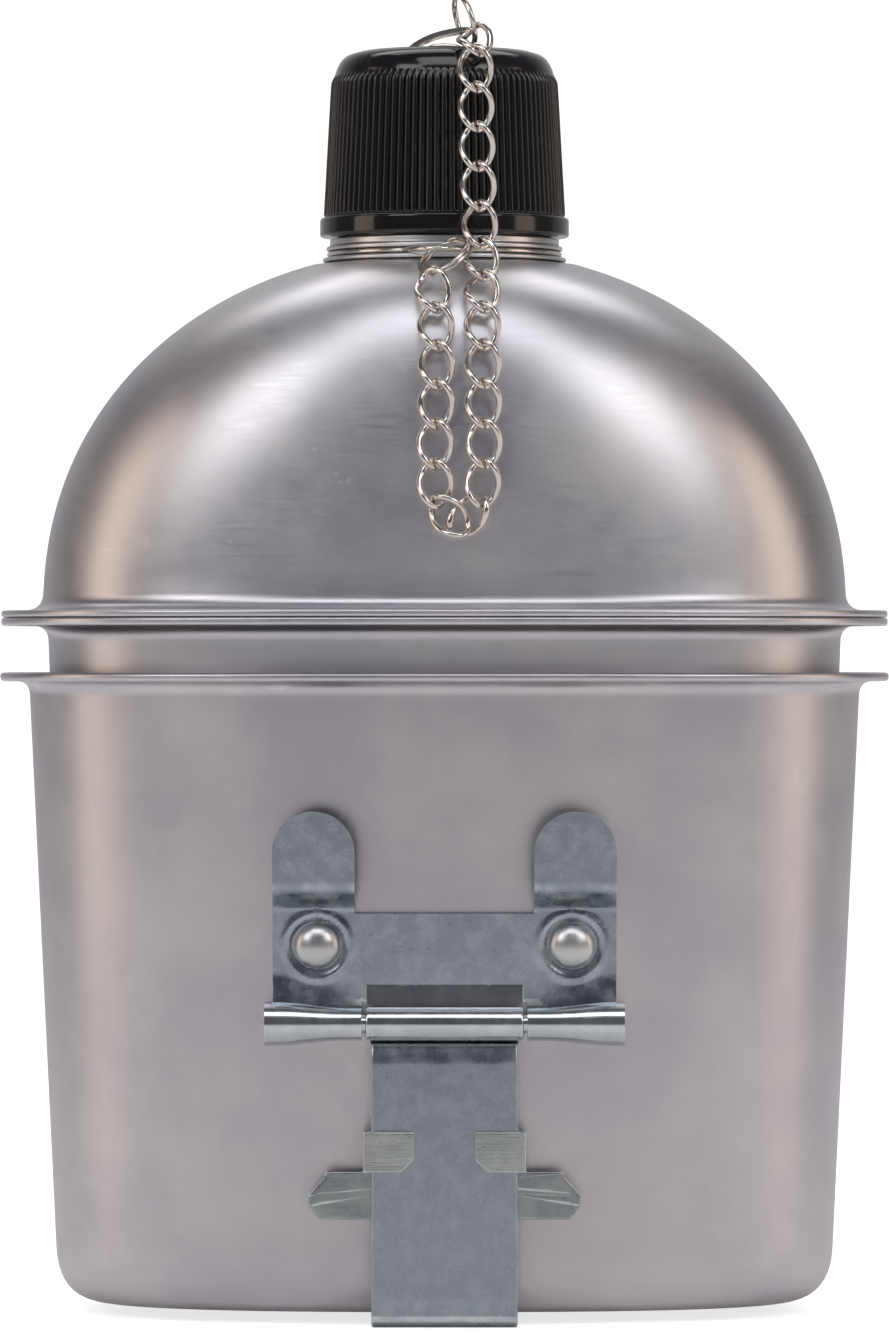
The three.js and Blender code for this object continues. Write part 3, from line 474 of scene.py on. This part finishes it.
def rubber():
    made = bpy.data.materials.new("sealing_rubber")
    made.use_nodes = True
    tree = made.node_tree
    shader = tree.nodes["Principled BSDF"]
    marks = use_group(tree, PATCH, {"Size": 120, "Specks": 0.8})
    colour = add(tree, "ShaderNodeMix", {0: marks["Cloud"], 6: (0.20, 0.175, 0.15, 1),
                                         7: (0.27, 0.24, 0.21, 1)}, data_type="RGBA").outputs[2]
    tree.links.new(colour, shader.inputs["Base Color"])
    tree.links.new(ramp(tree, marks["Cloud"], 0.3, 0.7, 0.65, 0.85), shader.inputs["Roughness"])
    tree.links.new(add(tree, "ShaderNodeBump", {"Height": marks["Cloud"], "Strength": 0.4,
                                                "Distance": 0.0001}).outputs[0], shader.inputs["Normal"])
    return made


liner = fillet([(8, 197.5), (16.9, 197.5), (16.9, 199.0), (4.4, 199.0), (4.4, 197.5), (8, 197.5)], 0.4)
surface("liner_ring", turned(liner), "cap", rubber(), ["cap_liner"])

# ==== Cap tab =================================================================================
# Pressed nickelled plate in the cap's recess, held by a rivet through the cap. A tongue cut from
# it arches up to the right, with a hole for the connecting ring.
TONGUE_Y, TONGUE_HALF = -6.6, 2.8
tab_plate = fillet([(4, 202.4), (9.5, 202.4), (9.5, 203.2), (1.9, 203.2), (1.9, 202.4), (4, 202.4)], 0.3)
surface("tab_plate", turned(tab_plate), "tab", nickel, ["cap_tab"])


def tongue_rows():
    """A flat outline with a round hole, as rings between the hole's edge and the outline, bent on
    the arch x = x0 + s, z = curve(s): quadratic from (-6.0, 202.7) past (-2.5, 206.0) to (4.6, 206.3)."""
    angle = np.linspace(0, 2 * np.pi, 120, endpoint=False)
    c, s = np.cos(angle), np.sin(angle)
    hole = np.stack([8.9 + 1.3 * c, 1.3 * s], -1)
    reach = (np.abs(c) ** 7 + np.abs(s) ** 7) ** (-1 / 7)
    rim = np.stack([np.where(c > 0, 8.9 + 2.35 * reach * c, 8.9 + 8.9 * reach * c),
                    TONGUE_HALF * reach * s], -1)
    share = np.array([0.0, 0.05, 0.2, 0.4, 0.6, 0.8, 0.93, 0.985, 1.0])[:, None, None]
    flat = hole + (rim - hole) * share
    level = np.array([-0.3, -0.42, -0.42, -0.42, -0.42, -0.42, -0.42, -0.4, -0.2])[:, None]
    both = np.concatenate([flat, flat[::-1]])
    lift = np.concatenate([level, -level[::-1]]) + 0 * both[..., 0]
    t = np.clip(both[..., 0] / 11.25, 0, 1)
    x = (1 - t) ** 2 * -6.0 + 2 * t * (1 - t) * -2.5 + t ** 2 * 4.6
    z = (1 - t) ** 2 * 202.7 + 2 * t * (1 - t) * 206.0 + t ** 2 * 206.3
    dx = 2 * (1 - t) * 3.5 + 2 * t * 7.1
    dz = 2 * (1 - t) * 3.3 + 2 * t * 0.3
    size = np.hypot(dx, dz)
    return np.stack([x - lift * dz / size, TONGUE_Y + both[..., 1], z + lift * dx / size], -1)


surface("tab_tongue", tongue_rows(), "tab", nickel, loop=True)
rivet = fillet([(0.001, 197.5), (1.6, 197.5), (1.6, 203.5), (3.0, 203.5), (2.7, 204.4), (0.001, 204.75)],
               [0.3, 0.1, 0.3, 0.9])
surface("tab_rivet_turned", turned(rivet, 96), "tab", nickel, ["tab_rivet"])
washer = fillet([(3, 198.2), (3.9, 198.2), (3.9, 199.0), (1.9, 199.0), (1.9, 198.2), (3, 198.2)], 0.2)
surface("tab_washer_turned", turned(washer, 96), "tab", nickel, ["tab_washer"])

# ==== Chain ===================================================================================
# Nickelled curb chain. Each link is a loop of wire twisted at its two ends, so that neighbours lie
# flat on each other. Every link sits where its frame node is, found from that node's points.
WIRE, LINK_HALF, LINK_WIDE, LINK_TWIST = 0.525, 3.75, 2.48, math.pi / 4


def link_rows(node):
    """p = m + side W cos t cos f + out W cos t sin f + up A sin t, with f = twist sin t. The three
    directions are the node's principal axes: up is the longest and out the shortest."""
    points = np.array([v.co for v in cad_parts[node].data.vertices], float) * 1000
    points = np.unique(np.round(points, 3), axis=0)
    middle = points.mean(0)
    up, side, out = np.linalg.svd(points - middle, full_matrices=False)[2]
    out = out * np.sign(np.dot(np.cross(out, side), up))
    t = np.linspace(0, 2 * np.pi, 72, endpoint=False)[:, None]
    f, wide = LINK_TWIST * np.sin(t), LINK_WIDE * np.cos(t)
    path = middle + wide * (side * np.cos(f) + out * np.sin(f)) + up * LINK_HALF * np.sin(t)
    return tube(path, WIRE, middle, 14)


for number in range(1, 22):
    link = f"chain_link_{number:02d}"
    rides = "tab" if number <= 13 else "bottle" if number >= 18 else f"link_{number}"
    surface(f"curb_link_{number:02d}", link_rows(link), rides, nickel, [link], loop=True)

# ==== Connecting ring =========================================================================
# Ring of thicker wire through the tongue's hole and the first link.


def ring_path(middle, axis, radius, turns, rise=0.0, steps=96):
    """Circle about an axis, starting upwards. With rise, two coils joined by a short jog."""
    middle, axis = np.array(middle, float), np.array(axis, float) / np.linalg.norm(axis)
    start = np.array([0, 1.0, 0]) if rise else np.array([0, 0, 1.0])
    first = start - axis * np.dot(start, axis)
    first /= np.linalg.norm(first)
    second = np.cross(axis, first) if rise else np.cross(first, axis)
    t = np.linspace(0, turns, steps, endpoint=bool(rise))[:, None]
    jog = np.clip((t - 0.86) / 0.2, 0, 1)
    jog = jog * jog * (3 - 2 * jog) - 0.5
    angle = 2 * np.pi * t
    return middle + radius * (first * np.cos(angle) + second * np.sin(angle)) + axis * rise * jog


RING = (3.23, -10.89, 207.52)
ring = ring_path(RING, (-0.919, -0.279, -0.284), 4.1, 1)
surface("connecting_ring_wire", tube(ring, 0.45, RING), "tab", nickel,
        ["connecting_ring"], loop=True)

# ==== Split ring ==============================================================================
# Two coils of thin wire through the collar wire's eye and the last link.
SPLIT = (-0.09, -24.46, 169.03)
split = ring_path(SPLIT, (-0.499, -0.449, 0.741), 4.3, 1.92, rise=0.59, steps=220)
surface("split_ring_wire", tube(split, 0.28, SPLIT, closed=False), "bottle", nickel,
        ["split_ring"])

# ==== Hinge bracket ===========================================================================
# Pressed from 1.1 mm zinc-plated sheet that follows the cup's wall. Its two ears step forward to
# catch the lock's wings, its lower corners are rolled into knuckles round the pin, and each rivet
# sits in a shallow dish.
HINGE_Z = 48.0
KNUCKLE_INNER, EAR_INNER, EAR_X, EAR_HALF, EAR_Z = 13.0, 14.1, 20.55, 6.45, 74.95
RIVET_X, RIVET_Z = 20.0, 60.2
DEPTH48 = CUP_HALF + CUP_TAPER * HINGE_Z - NARROWING
HINGE_Y = SHIFT - DEPTH48 - 3
zinc = metal("zinc_plate", (0.29, 0.32, 0.36), (0.42, 0.46, 0.49), 0.25, stretch=(1, 1, 0.3),
             scale=900, depth=0.02, scratches=0.4, cloud_size=330, cloud=0.10, specks=0.6, edge=0.7)
# A lighter, smoother copy of the zinc. Its lighter colour is a painted highlight on the rolled knuckles, the
# handle's curl and the bracket's lip. The pin takes it too.
highlight_zinc = metal("zinc_painted_highlight", (0.56, 0.59, 0.61), (0.66, 0.685, 0.70), 0.17, stretch=(1, 0.2, 0.2),
                    scale=900, depth=0.02, scratches=0.3, cloud_size=200, cloud=0.05, edge=0.5)


def smooth(value, low, high):
    t = np.clip((value - low) / (high - low), 0, 1)
    return t * t * (3 - 2 * t)


def cup_front(x, z):
    """Y of the cup's outer wall at the front."""
    width = CUP_HALF + CUP_TAPER * z
    return SHIFT - (width - NARROWING) * (1 - (np.abs(x) / width) ** POWER) ** (1 / POWER)


def bracket_piece():
    """Middle surface of the sheet on a grid, given its thickness by a Solidify modifier and round
    edges by a Bevel. Columns run across. Rows first wind round the pin and then climb the wall;
    cells outside the outline are left out. The ears' tops are a square grid eased into a half
    disc: x = a sqrt(1 - b^2/2), z = b sqrt(1 - a^2/2)."""
    right = np.concatenate([np.linspace(0, 13, 25), [13.55], np.linspace(14.1, 27, 31)])
    xs = np.concatenate([-right[:0:-1], right])
    coil = np.linspace(1, 0, 34)[:-1]
    zs = np.concatenate([np.linspace(48, 51.4, 8), np.linspace(51.4, 65.3, 29)[1:],
                         np.linspace(65.3, 74.95, 23)[1:], np.linspace(74.95, 81.4, 15)[1:]])
    x, z = np.meshgrid(xs, np.concatenate([48 + 0 * coil, zs]))
    winding = np.concatenate([coil, 0 * zs])[:, None] + 0 * x
    middle = np.sign(x) * EAR_X
    a, b = np.clip((x - middle) / EAR_HALF, -1, 1), np.clip((z - EAR_Z) / EAR_HALF, 0, 1)
    ear = (z > EAR_Z) & (np.abs(x) > 14)
    px = np.where(ear, middle + EAR_HALF * a * np.sqrt(1 - b * b / 2), x)
    pz = np.where(ear, EAR_Z + EAR_HALF * b * np.sqrt(1 - a * a / 2), z)
    step = 3.9 * smooth(pz, 65.9, 69.9)
    away = np.hypot(np.abs(px) - RIVET_X, pz - RIVET_Z)
    ridge = 0.22 * smooth(away, 4.2, 4.9) * (1 - smooth(away, 5.0, 6.0))
    dish = 0.28 * (1 - smooth(away, 4.1, 4.9)) - ridge
    wall = cup_front(px, pz) - 0.85 - step + dish
    flat = HINGE_Y + 2.15
    py = flat + (wall - flat) * smooth(pz, 48.6, 56)
    flare = 2.15 + 0.75 * smooth(np.abs(px), 16, 25)
    angle = winding * math.radians(318)
    rolled = winding > 0
    ease = (flare - 2.15) * (1 - smooth(winding, 0, 0.1))
    py = np.where(rolled, HINGE_Y + flare * np.cos(angle) - ease, py)
    pz = np.where(rolled, HINGE_Z - flare * np.sin(angle), pz)
    px = np.where(rolled | (pz < 50), px * (1 + 0.048 * (np.abs(px) - 13) / 14), px)
    rows, width = x.shape
    cx, cz = (xs[1:] + xs[:-1]) / 2, (z[1:, 0] + z[:-1, 0]) / 2
    low_row = np.arange(rows - 1) < len(coil) + 7
    keep = np.where(low_row[:, None], np.abs(cx) > KNUCKLE_INNER,
                    np.where(cz[:, None] > 65.3, np.abs(cx) > EAR_INNER, True))
    r, c = np.nonzero(keep)
    faces = np.stack([r * width + c, r * width + c + 1, (r + 1) * width + c + 1, (r + 1) * width + c], 1)
    used, index = np.unique(faces, return_inverse=True)
    points = np.stack([px, py, pz], -1).reshape(-1, 3)[used] * 0.001
    mesh = bpy.data.meshes.new("bracket_sheet")
    mesh.from_pydata(points, [], index.reshape(-1, 4).tolist())
    mesh.shade_smooth()
    mesh.materials.append(zinc)
    piece = bpy.data.objects.new("bracket_sheet", mesh)
    bpy.context.scene.collection.objects.link(piece)
    thick = piece.modifiers.new("thickness", "SOLIDIFY")
    thick.thickness, thick.offset = 0.0011, 0
    edge = piece.modifiers.new("edges", "BEVEL")
    edge.width, edge.segments, edge.limit_method, edge.angle_limit = 0.0003, 3, "ANGLE", math.radians(45)
    edge.harden_normals = True
    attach(piece, "cup")
    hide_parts("hinge_bracket")
    # The knuckles and the sheet round the pin take the lighter zinc: a painted highlight.
    paint_highlight_faces(piece, highlight_zinc, lambda x, y, z: (z < 52) & (y < HINGE_Y + 2.2))


bracket_piece()

# ==== Bracket rivets ==========================================================================
# Two aluminium rivets with round heads go through the bracket and the cup's wall, each clenched
# over a washer inside the cup.
rivet_metal = metal("rivet_aluminium", (0.56, 0.555, 0.56), (0.66, 0.65, 0.65), 0.34, stretch=(1, 1, 1),
                    scale=1200, depth=0.012, specks=0.6, edge=0.1)


def facing_front(profile, x):
    """A turned piece whose axis runs along Y, with heights measured from the cup's wall."""
    rows = turned(profile, 96)
    return np.stack([x + rows[..., 0], cup_front(x, RIVET_Z) + rows[..., 2], RIVET_Z + rows[..., 1]], -1)


dome_turn = np.linspace(0, np.pi / 2, 14)
head = np.stack([3.55 * np.sin(dome_turn) + 0.001, -1.75 - 2.1 * np.cos(dome_turn)], 1)
shank = fillet([(3.55, -1.75), (3.3, -1.45), (1.6, -1.6), (1.6, 2.4), (0.9, 2.65), (0.001, 2.65)],
               [0.15, 0.1, 0.3, 0.3])
ring_section = fillet([(2.5, 1.5), (3.2, 1.5), (3.2, 2.0), (1.85, 2.0), (1.85, 1.5), (2.5, 1.5)], 0.15)
for side, x in (("left", -RIVET_X), ("right", RIVET_X)):
    surface(f"rivet_{side}", facing_front(np.concatenate([head, shank[1:]]), x), "cup",
            rivet_metal, [f"bracket_rivet_{side}"])
    surface(f"washer_{side}", facing_front(ring_section, x), "cup", rivet_metal,
            [f"rivet_washer_{side}"])

# ==== Hinge pin ===============================================================================
# Steel pin through the knuckles and the handle's curl, upset at both ends.
pin = fillet([(0.001, -28.1), (2.2, -27.9), (2.2, -27.0), (1.5, -26.4), (1.5, 26.4), (2.2, 27.0),
              (2.2, 27.9), (0.001, 28.1)], 0.25)
surface("pin_turned", turned(pin, 96, lying=True) + (0, HINGE_Y, HINGE_Z), "cup",
        highlight_zinc, ["hinge_pin"])

# ==== Handle ==================================================================================
# Zinc-plated strip, 23 mm wide and a little wider at the top, where it is curled round the pin.
# Below the curl it runs down the cup and turns under it as a grip with a round end.
STRIP_HALF, STRIP, GRIP_END = 11.5, 1.2, 24.0


def ribbon(path, half, thickness, edge=0.3):
    """A strip along a path in Y and Z. Its section is a rectangle with quarter-round corners, of
    half width `half` at each point of the path, with two more points on each broad side."""
    p = np.asarray(path, float)
    along = np.gradient(p, axis=0)
    along /= np.linalg.norm(along, axis=1, keepdims=True)
    normal = np.stack([along[:, 1], -along[:, 0]], 1)
    q = np.linspace(0, np.pi / 2, 5)
    inset = np.concatenate([edge * (1 - np.cos(q)), [edge + 0.4]])
    high = np.concatenate([thickness / 2 - edge * (1 - np.sin(q)), [thickness / 2]])
    side = np.repeat([1, -1, -1, 1], 6)
    inset = np.concatenate([inset, inset[::-1], inset, inset[::-1]])
    height = np.concatenate([high, high[::-1], -high, -high[::-1]])
    x = side * (np.asarray(half, float)[:, None] - inset)
    rows = np.stack([x, p[:, :1] + normal[:, :1] * height, p[:, 1:] + normal[:, 1:] * height], -1)
    hubs = rows.mean(1, keepdims=True) + 0 * rows
    return np.concatenate([hubs[:1], rows, hubs[-1:]])


def strip_path():
    """Path in Y and Z: from the curl's free end, low in front, up and over the pin and down behind
    it, then in under the axis, down the cup, round the bend and back to the grip's end."""
    angle = np.radians(np.linspace(262, -22, 66))
    coil = np.stack([HINGE_Y + 2.1 * np.cos(angle), HINGE_Z + 2.1 * np.sin(angle)], 1)
    t = np.linspace(0, 1, 24)[1:, None]
    start, ahead = coil[-1], np.array([math.sin(angle[-1]), -math.cos(angle[-1])])
    end = np.array([HINGE_Y, 41.6])
    drop = ((1 - t) ** 3 * start + 3 * t * (1 - t) ** 2 * (start + ahead * 1.8)
            + 3 * t * t * (1 - t) * (end + (0, 2.4)) + t ** 3 * end)
    bend = np.radians(np.linspace(180, 270, 24))
    turn_under = np.stack([HINGE_Y - 0.6 + 5 + 4.4 * np.cos(bend), 5 + 4.4 * np.sin(bend)], 1)
    straight = np.stack([HINGE_Y + 0 * t[:, 0], 41.6 + (5 - 41.6) * t[:, 0]], 1)[:-1]
    last = np.linspace(turn_under[-1, 0], GRIP_END, 90)[1:]
    return np.concatenate([coil, drop, straight, turn_under, np.stack([last, 0.6 + 0 * last], 1)])


path = strip_path()
y_from_end = GRIP_END - np.where(path[:, 1] < 0.7, path[:, 0], -60)
half = STRIP_HALF - 10 + np.sqrt(np.maximum(100 - np.maximum(10 - y_from_end, 0) ** 2, 0.04))
half = half + 0.9 * (1 - smooth(np.arange(len(path)), 66, 80))
handle_zinc = metal("zinc_strip", (0.36, 0.395, 0.44), (0.44, 0.48, 0.52), 0.28, stretch=(1, 1, 0.25),
                    scale=900, depth=0.015, scratches=0.4, cloud_size=300, cloud=0.07, specks=0.5, edge=0.7)
strip = surface("handle_strip", ribbon(path, half, STRIP), "grip", handle_zinc,
                ["handle"], flat=True)
# The curl, above z 45 mm, takes the lighter zinc: a painted highlight.
paint_highlight_faces(strip, highlight_zinc, lambda x, y, z: z > 45)

# ==== Bracket lip =============================================================================
# Narrow flat lip pressed out of the bracket behind the curl, tilted up a little. It takes the lighter zinc,
# whose colour is a painted highlight.
lip_path = np.stack([np.linspace(cup_front(0, 51.2) - 2.25, cup_front(0, 53.9) - 1.7, 12),
                     np.linspace(51.2, 53.9, 12)], 1)
surface("bracket_lip", ribbon(lip_path, 12.4 + np.zeros(12), 0.7, 0.2), "cup", highlight_zinc)

# ==== Lock slide ==============================================================================
# Plate behind the strip with a wing on each side. Two clips, folded round the strip's edges, hold
# it in front. Blanked from greener, brushed sheet.
WING_HALF, CLIP_HALF = 21.4, 12.8


def slab(outline, y0, y1, edge=0.25):
    """A flat plate from a closed outline in X and Z that its mean point can see all of. Its
    edges are quarter rounds: the outline moves in by edge (1 - sin q) as y moves by edge (1 - cos q).
    Rings inside them, moved towards the middle by a share, carry each flat face in."""
    p = np.asarray(outline, float)
    along = np.roll(p, -1, 0) - np.roll(p, 1, 0)
    along /= np.maximum(np.linalg.norm(along, axis=1, keepdims=True), 1e-9)
    area = np.sum(p[:, 0] * np.roll(p[:, 1], -1) - p[:, 1] * np.roll(p[:, 0], -1))
    inward = np.stack([-along[:, 1], along[:, 0]], 1) * np.sign(area)
    q = np.linspace(0, np.pi / 2, 5)
    move = np.concatenate([edge * (1 - np.sin(q)), edge * (1 - np.sin(q[::-1]))])
    level = np.concatenate([y0 + edge * (1 - np.cos(q)), y1 - edge * (1 - np.cos(q[::-1]))])
    flat = p[None] + inward[None] * move[:, None, None]
    rows = np.stack([flat[..., 0], level[:, None] + 0 * flat[..., 0], flat[..., 1]], -1)
    hub = np.array([p[:, 0].mean(), 0, p[:, 1].mean()])
    first, last = (np.broadcast_to(hub + (0, y, 0), rows[:1].shape) for y in (y0, y1))
    shares = np.array([0.6, 0.3, 0.08, 0.035])[:, None, None]
    face, back = rows[:1] + (first - rows[:1]) * shares, rows[-1:] + (last - rows[-1:]) * shares[::-1]
    return np.concatenate([first, face, rows, back, last])


def closed_fillet(points, radius, steps=6):
    """fillet() for a closed outline that starts in the middle of its first side."""
    p = np.asarray(points, float)
    start = (p[0] + p[-1]) / 2
    return densify(fillet(np.concatenate([[start], p, [start]]), radius, steps), 0.7)[:-1]


lock_zinc = metal("zinc_lock", (0.30, 0.32, 0.33), (0.42, 0.45, 0.44), 0.30, stretch=(0.08, 1, 1),
                  scale=1500, depth=0.02, scratches=0.5, cloud_size=160, cloud=0.08, specks=0.5, edge=0.8)
clip_zinc = metal("zinc_clip", (0.45, 0.475, 0.46), (0.56, 0.58, 0.56), 0.26, stretch=(0.06, 1, 1),
                  scale=1300, depth=0.025, scratches=0.6, cloud_size=180, cloud=0.06, edge=0.9)
wings = [(0.5, 17.2), (19.7, 17.2), (WING_HALF, 19.3), (WING_HALF, 21.2), (18.9, 23.9), (18.7, 24.7),
         (CLIP_HALF, 24.7), (CLIP_HALF, 31.2)]
wings = wings + [(-x, z) for x, z in wings[::-1]]
radii = [0.3, 0.5, 0.5, 0.6, 0.4, 0.3, 0.3, 0.3]
surface("lock_plate", slab(closed_fillet(wings, radii + radii[::-1]), HINGE_Y + 0.85, HINGE_Y + 1.85),
        "lock", lock_zinc, ["lock_slide"], flat=True)
for side, name in ((-1, "left"), (1, "right")):
    clip = [(side * x, z) for x, z in [(CLIP_HALF, 24.7), (6.8, 24.7), (4.8, 26.6), (4.8, 31.1),
                                       (CLIP_HALF, 31.1)]]
    surface(f"lock_clip_{name}", slab(closed_fillet(clip, 0.3), HINGE_Y - 1.85, HINGE_Y - 0.85),
            "lock", clip_zinc, flat=True)
    fold = [(side * x, z) for x, z in [(11.85, 24.75), (CLIP_HALF, 24.75), (CLIP_HALF, 31.15),
                                       (11.85, 31.15)]]
    surface(f"lock_fold_{name}", slab(closed_fillet(fold, 0.25), HINGE_Y - 1.7, HINGE_Y + 1.7, 0.2),
            "lock", clip_zinc, flat=True)

# ==== Floor and backdrop ======================================================================
# White sweep: a level floor that curves up behind the object, matt, with a slight mottle.


def sweep():
    """Profile (distance behind, height): floor to 1.4 m back, a quarter round of 0.6 m, a wall."""
    bend = np.linspace(0, np.pi / 2, 24)
    back = np.concatenate([[-3000], 1400 + 600 * np.sin(bend), [2000]])
    high = np.concatenate([[0], 600 * (1 - np.cos(bend)), [3000]])
    across = np.linspace(-3500, 3500, 3)
    points = np.stack([across[None] + 0 * back[:, None], back[:, None] + 0 * across,
                       high[:, None] + 0 * across], -1)
    count, width = points.shape[:2]
    r, c = np.arange(count - 1)[:, None], np.arange(width - 1)[None]
    faces = np.stack([r * width + c, r * width + c + 1, (r + 1) * width + c + 1, (r + 1) * width + c], -1)
    mesh = bpy.data.meshes.new("backdrop")
    mesh.from_pydata(points.reshape(-1, 3) * 0.001, [], faces.reshape(-1, 4).tolist())
    mesh.shade_smooth()
    made = bpy.data.objects.new("backdrop", mesh)
    bpy.context.scene.collection.objects.link(made)
    paper = bpy.data.materials.new("white_paper")
    paper.use_nodes = True
    shader = paper.node_tree.nodes["Principled BSDF"]
    marks = use_group(paper.node_tree, PATCH, {"Size": 3, "Specks": 0.0})
    tint = add(paper.node_tree, "ShaderNodeMix", {0: marks["Cloud"], 6: (0.90, 0.90, 0.90, 1),
                                                  7: (0.93, 0.93, 0.93, 1)}, data_type="RGBA").outputs[2]
    paper.node_tree.links.new(tint, shader.inputs["Base Color"])
    shader.inputs["Roughness"].default_value = 0.9
    shader.inputs["Emission Color"].default_value = (1, 1, 1, 1)
    place = add(paper.node_tree, "ShaderNodeTexCoord").outputs["Object"]
    behind = add(paper.node_tree, "ShaderNodeSeparateXYZ", {0: place}).outputs["Y"]
    seen = add(paper.node_tree, "ShaderNodeLightPath").outputs["Is Camera Ray"]
    # The paper glows. Other rays see up to 0.07, rising from 0.4 m to 0.1 m in front of the object and
    # staying there behind it. This painted glow brightens the floor in the metal's reflections. Camera rays
    # get 0.65 more, which keeps the backdrop evenly white.
    glow = add(paper.node_tree, "ShaderNodeMath", {
        0: ramp(paper.node_tree, behind, -0.4, -0.1, 0.0, 0.07), 1: ramp(
            paper.node_tree, seen, 0, 1, 0, 0.65)}, operation="ADD").outputs[0]
    paper.node_tree.links.new(glow, shader.inputs["Emission Strength"])
    mesh.materials.append(paper)


sweep()

# ==== Light and camera ========================================================================
# Two large softboxes in front at the left and right, two tall warm ones at the sides, two above,
# and one for the sweep. The front is left dim. The camera stands level with the object's middle.


def softbox(name, place, aim, size, power, tint=(1, 1, 1)):
    light = bpy.data.lights.new(name, "AREA")
    light.shape, light.size, light.size_y = "RECTANGLE", size[0], size[1]
    light.energy, light.color = power, tint
    made = bpy.data.objects.new(name, light)
    bpy.context.scene.collection.objects.link(made)
    made.location = place
    made.rotation_euler = (Vector(aim) - Vector(place)).to_track_quat("-Z", "Y").to_euler()


softbox("box_left", (-0.75, -0.85, 0.75), (0, 0, 0.12), (0.55, 0.6), 2.6)
softbox("box_right", (0.75, -0.85, 0.75), (0, 0, 0.12), (0.55, 0.6), 2.75)
softbox("side_left", (-1.1, -0.2, 0.3), (0, 0, 0.1), (0.45, 0.9), 1.75, (1, 0.8, 0.64))
softbox("side_right", (1.1, -0.2, 0.3), (0, 0, 0.1), (0.45, 0.9), 1.75, (1, 0.8, 0.64))
softbox("top_front", (0, -0.75, 1.15), (0, 0, 0.1), (1.0, 0.5), 3.4, (0.93, 0.97, 1.0))
softbox("top_back", (0, 0.35, 1.2), (0, 0, 0.1), (1.2, 0.6), 3.2)
softbox("sweep_light", (0, 0.9, 1.7), (0, 1.6, 0.2), (2.4, 0.8), 6)

world = bpy.data.worlds.new("studio")
bpy.context.scene.world = world
world.use_nodes = True
world.node_tree.nodes["Background"].inputs["Color"].default_value = (0.83, 0.81, 0.92, 1)
world.node_tree.nodes["Background"].inputs["Strength"].default_value = 0.135
bpy.context.scene.view_settings.view_transform = "Standard"

CAMERA_BACK, CAMERA_HEIGHT, HALF_VIEW, AIM_DROP = 1.3, 0.1067, 0.1078, 0.0028
camera = bpy.data.cameras.new("camera")
camera.sensor_fit, camera.angle_y = "VERTICAL", 2 * math.atan(HALF_VIEW / CAMERA_BACK)
camera_object = bpy.data.objects.new("camera", camera)
bpy.context.scene.collection.objects.link(camera_object)
camera_object.location = (0, -CAMERA_BACK, CAMERA_HEIGHT)
camera_object.rotation_euler = (math.pi / 2 - AIM_DROP / CAMERA_BACK, 0, 0)
bpy.context.scene.camera = camera_object
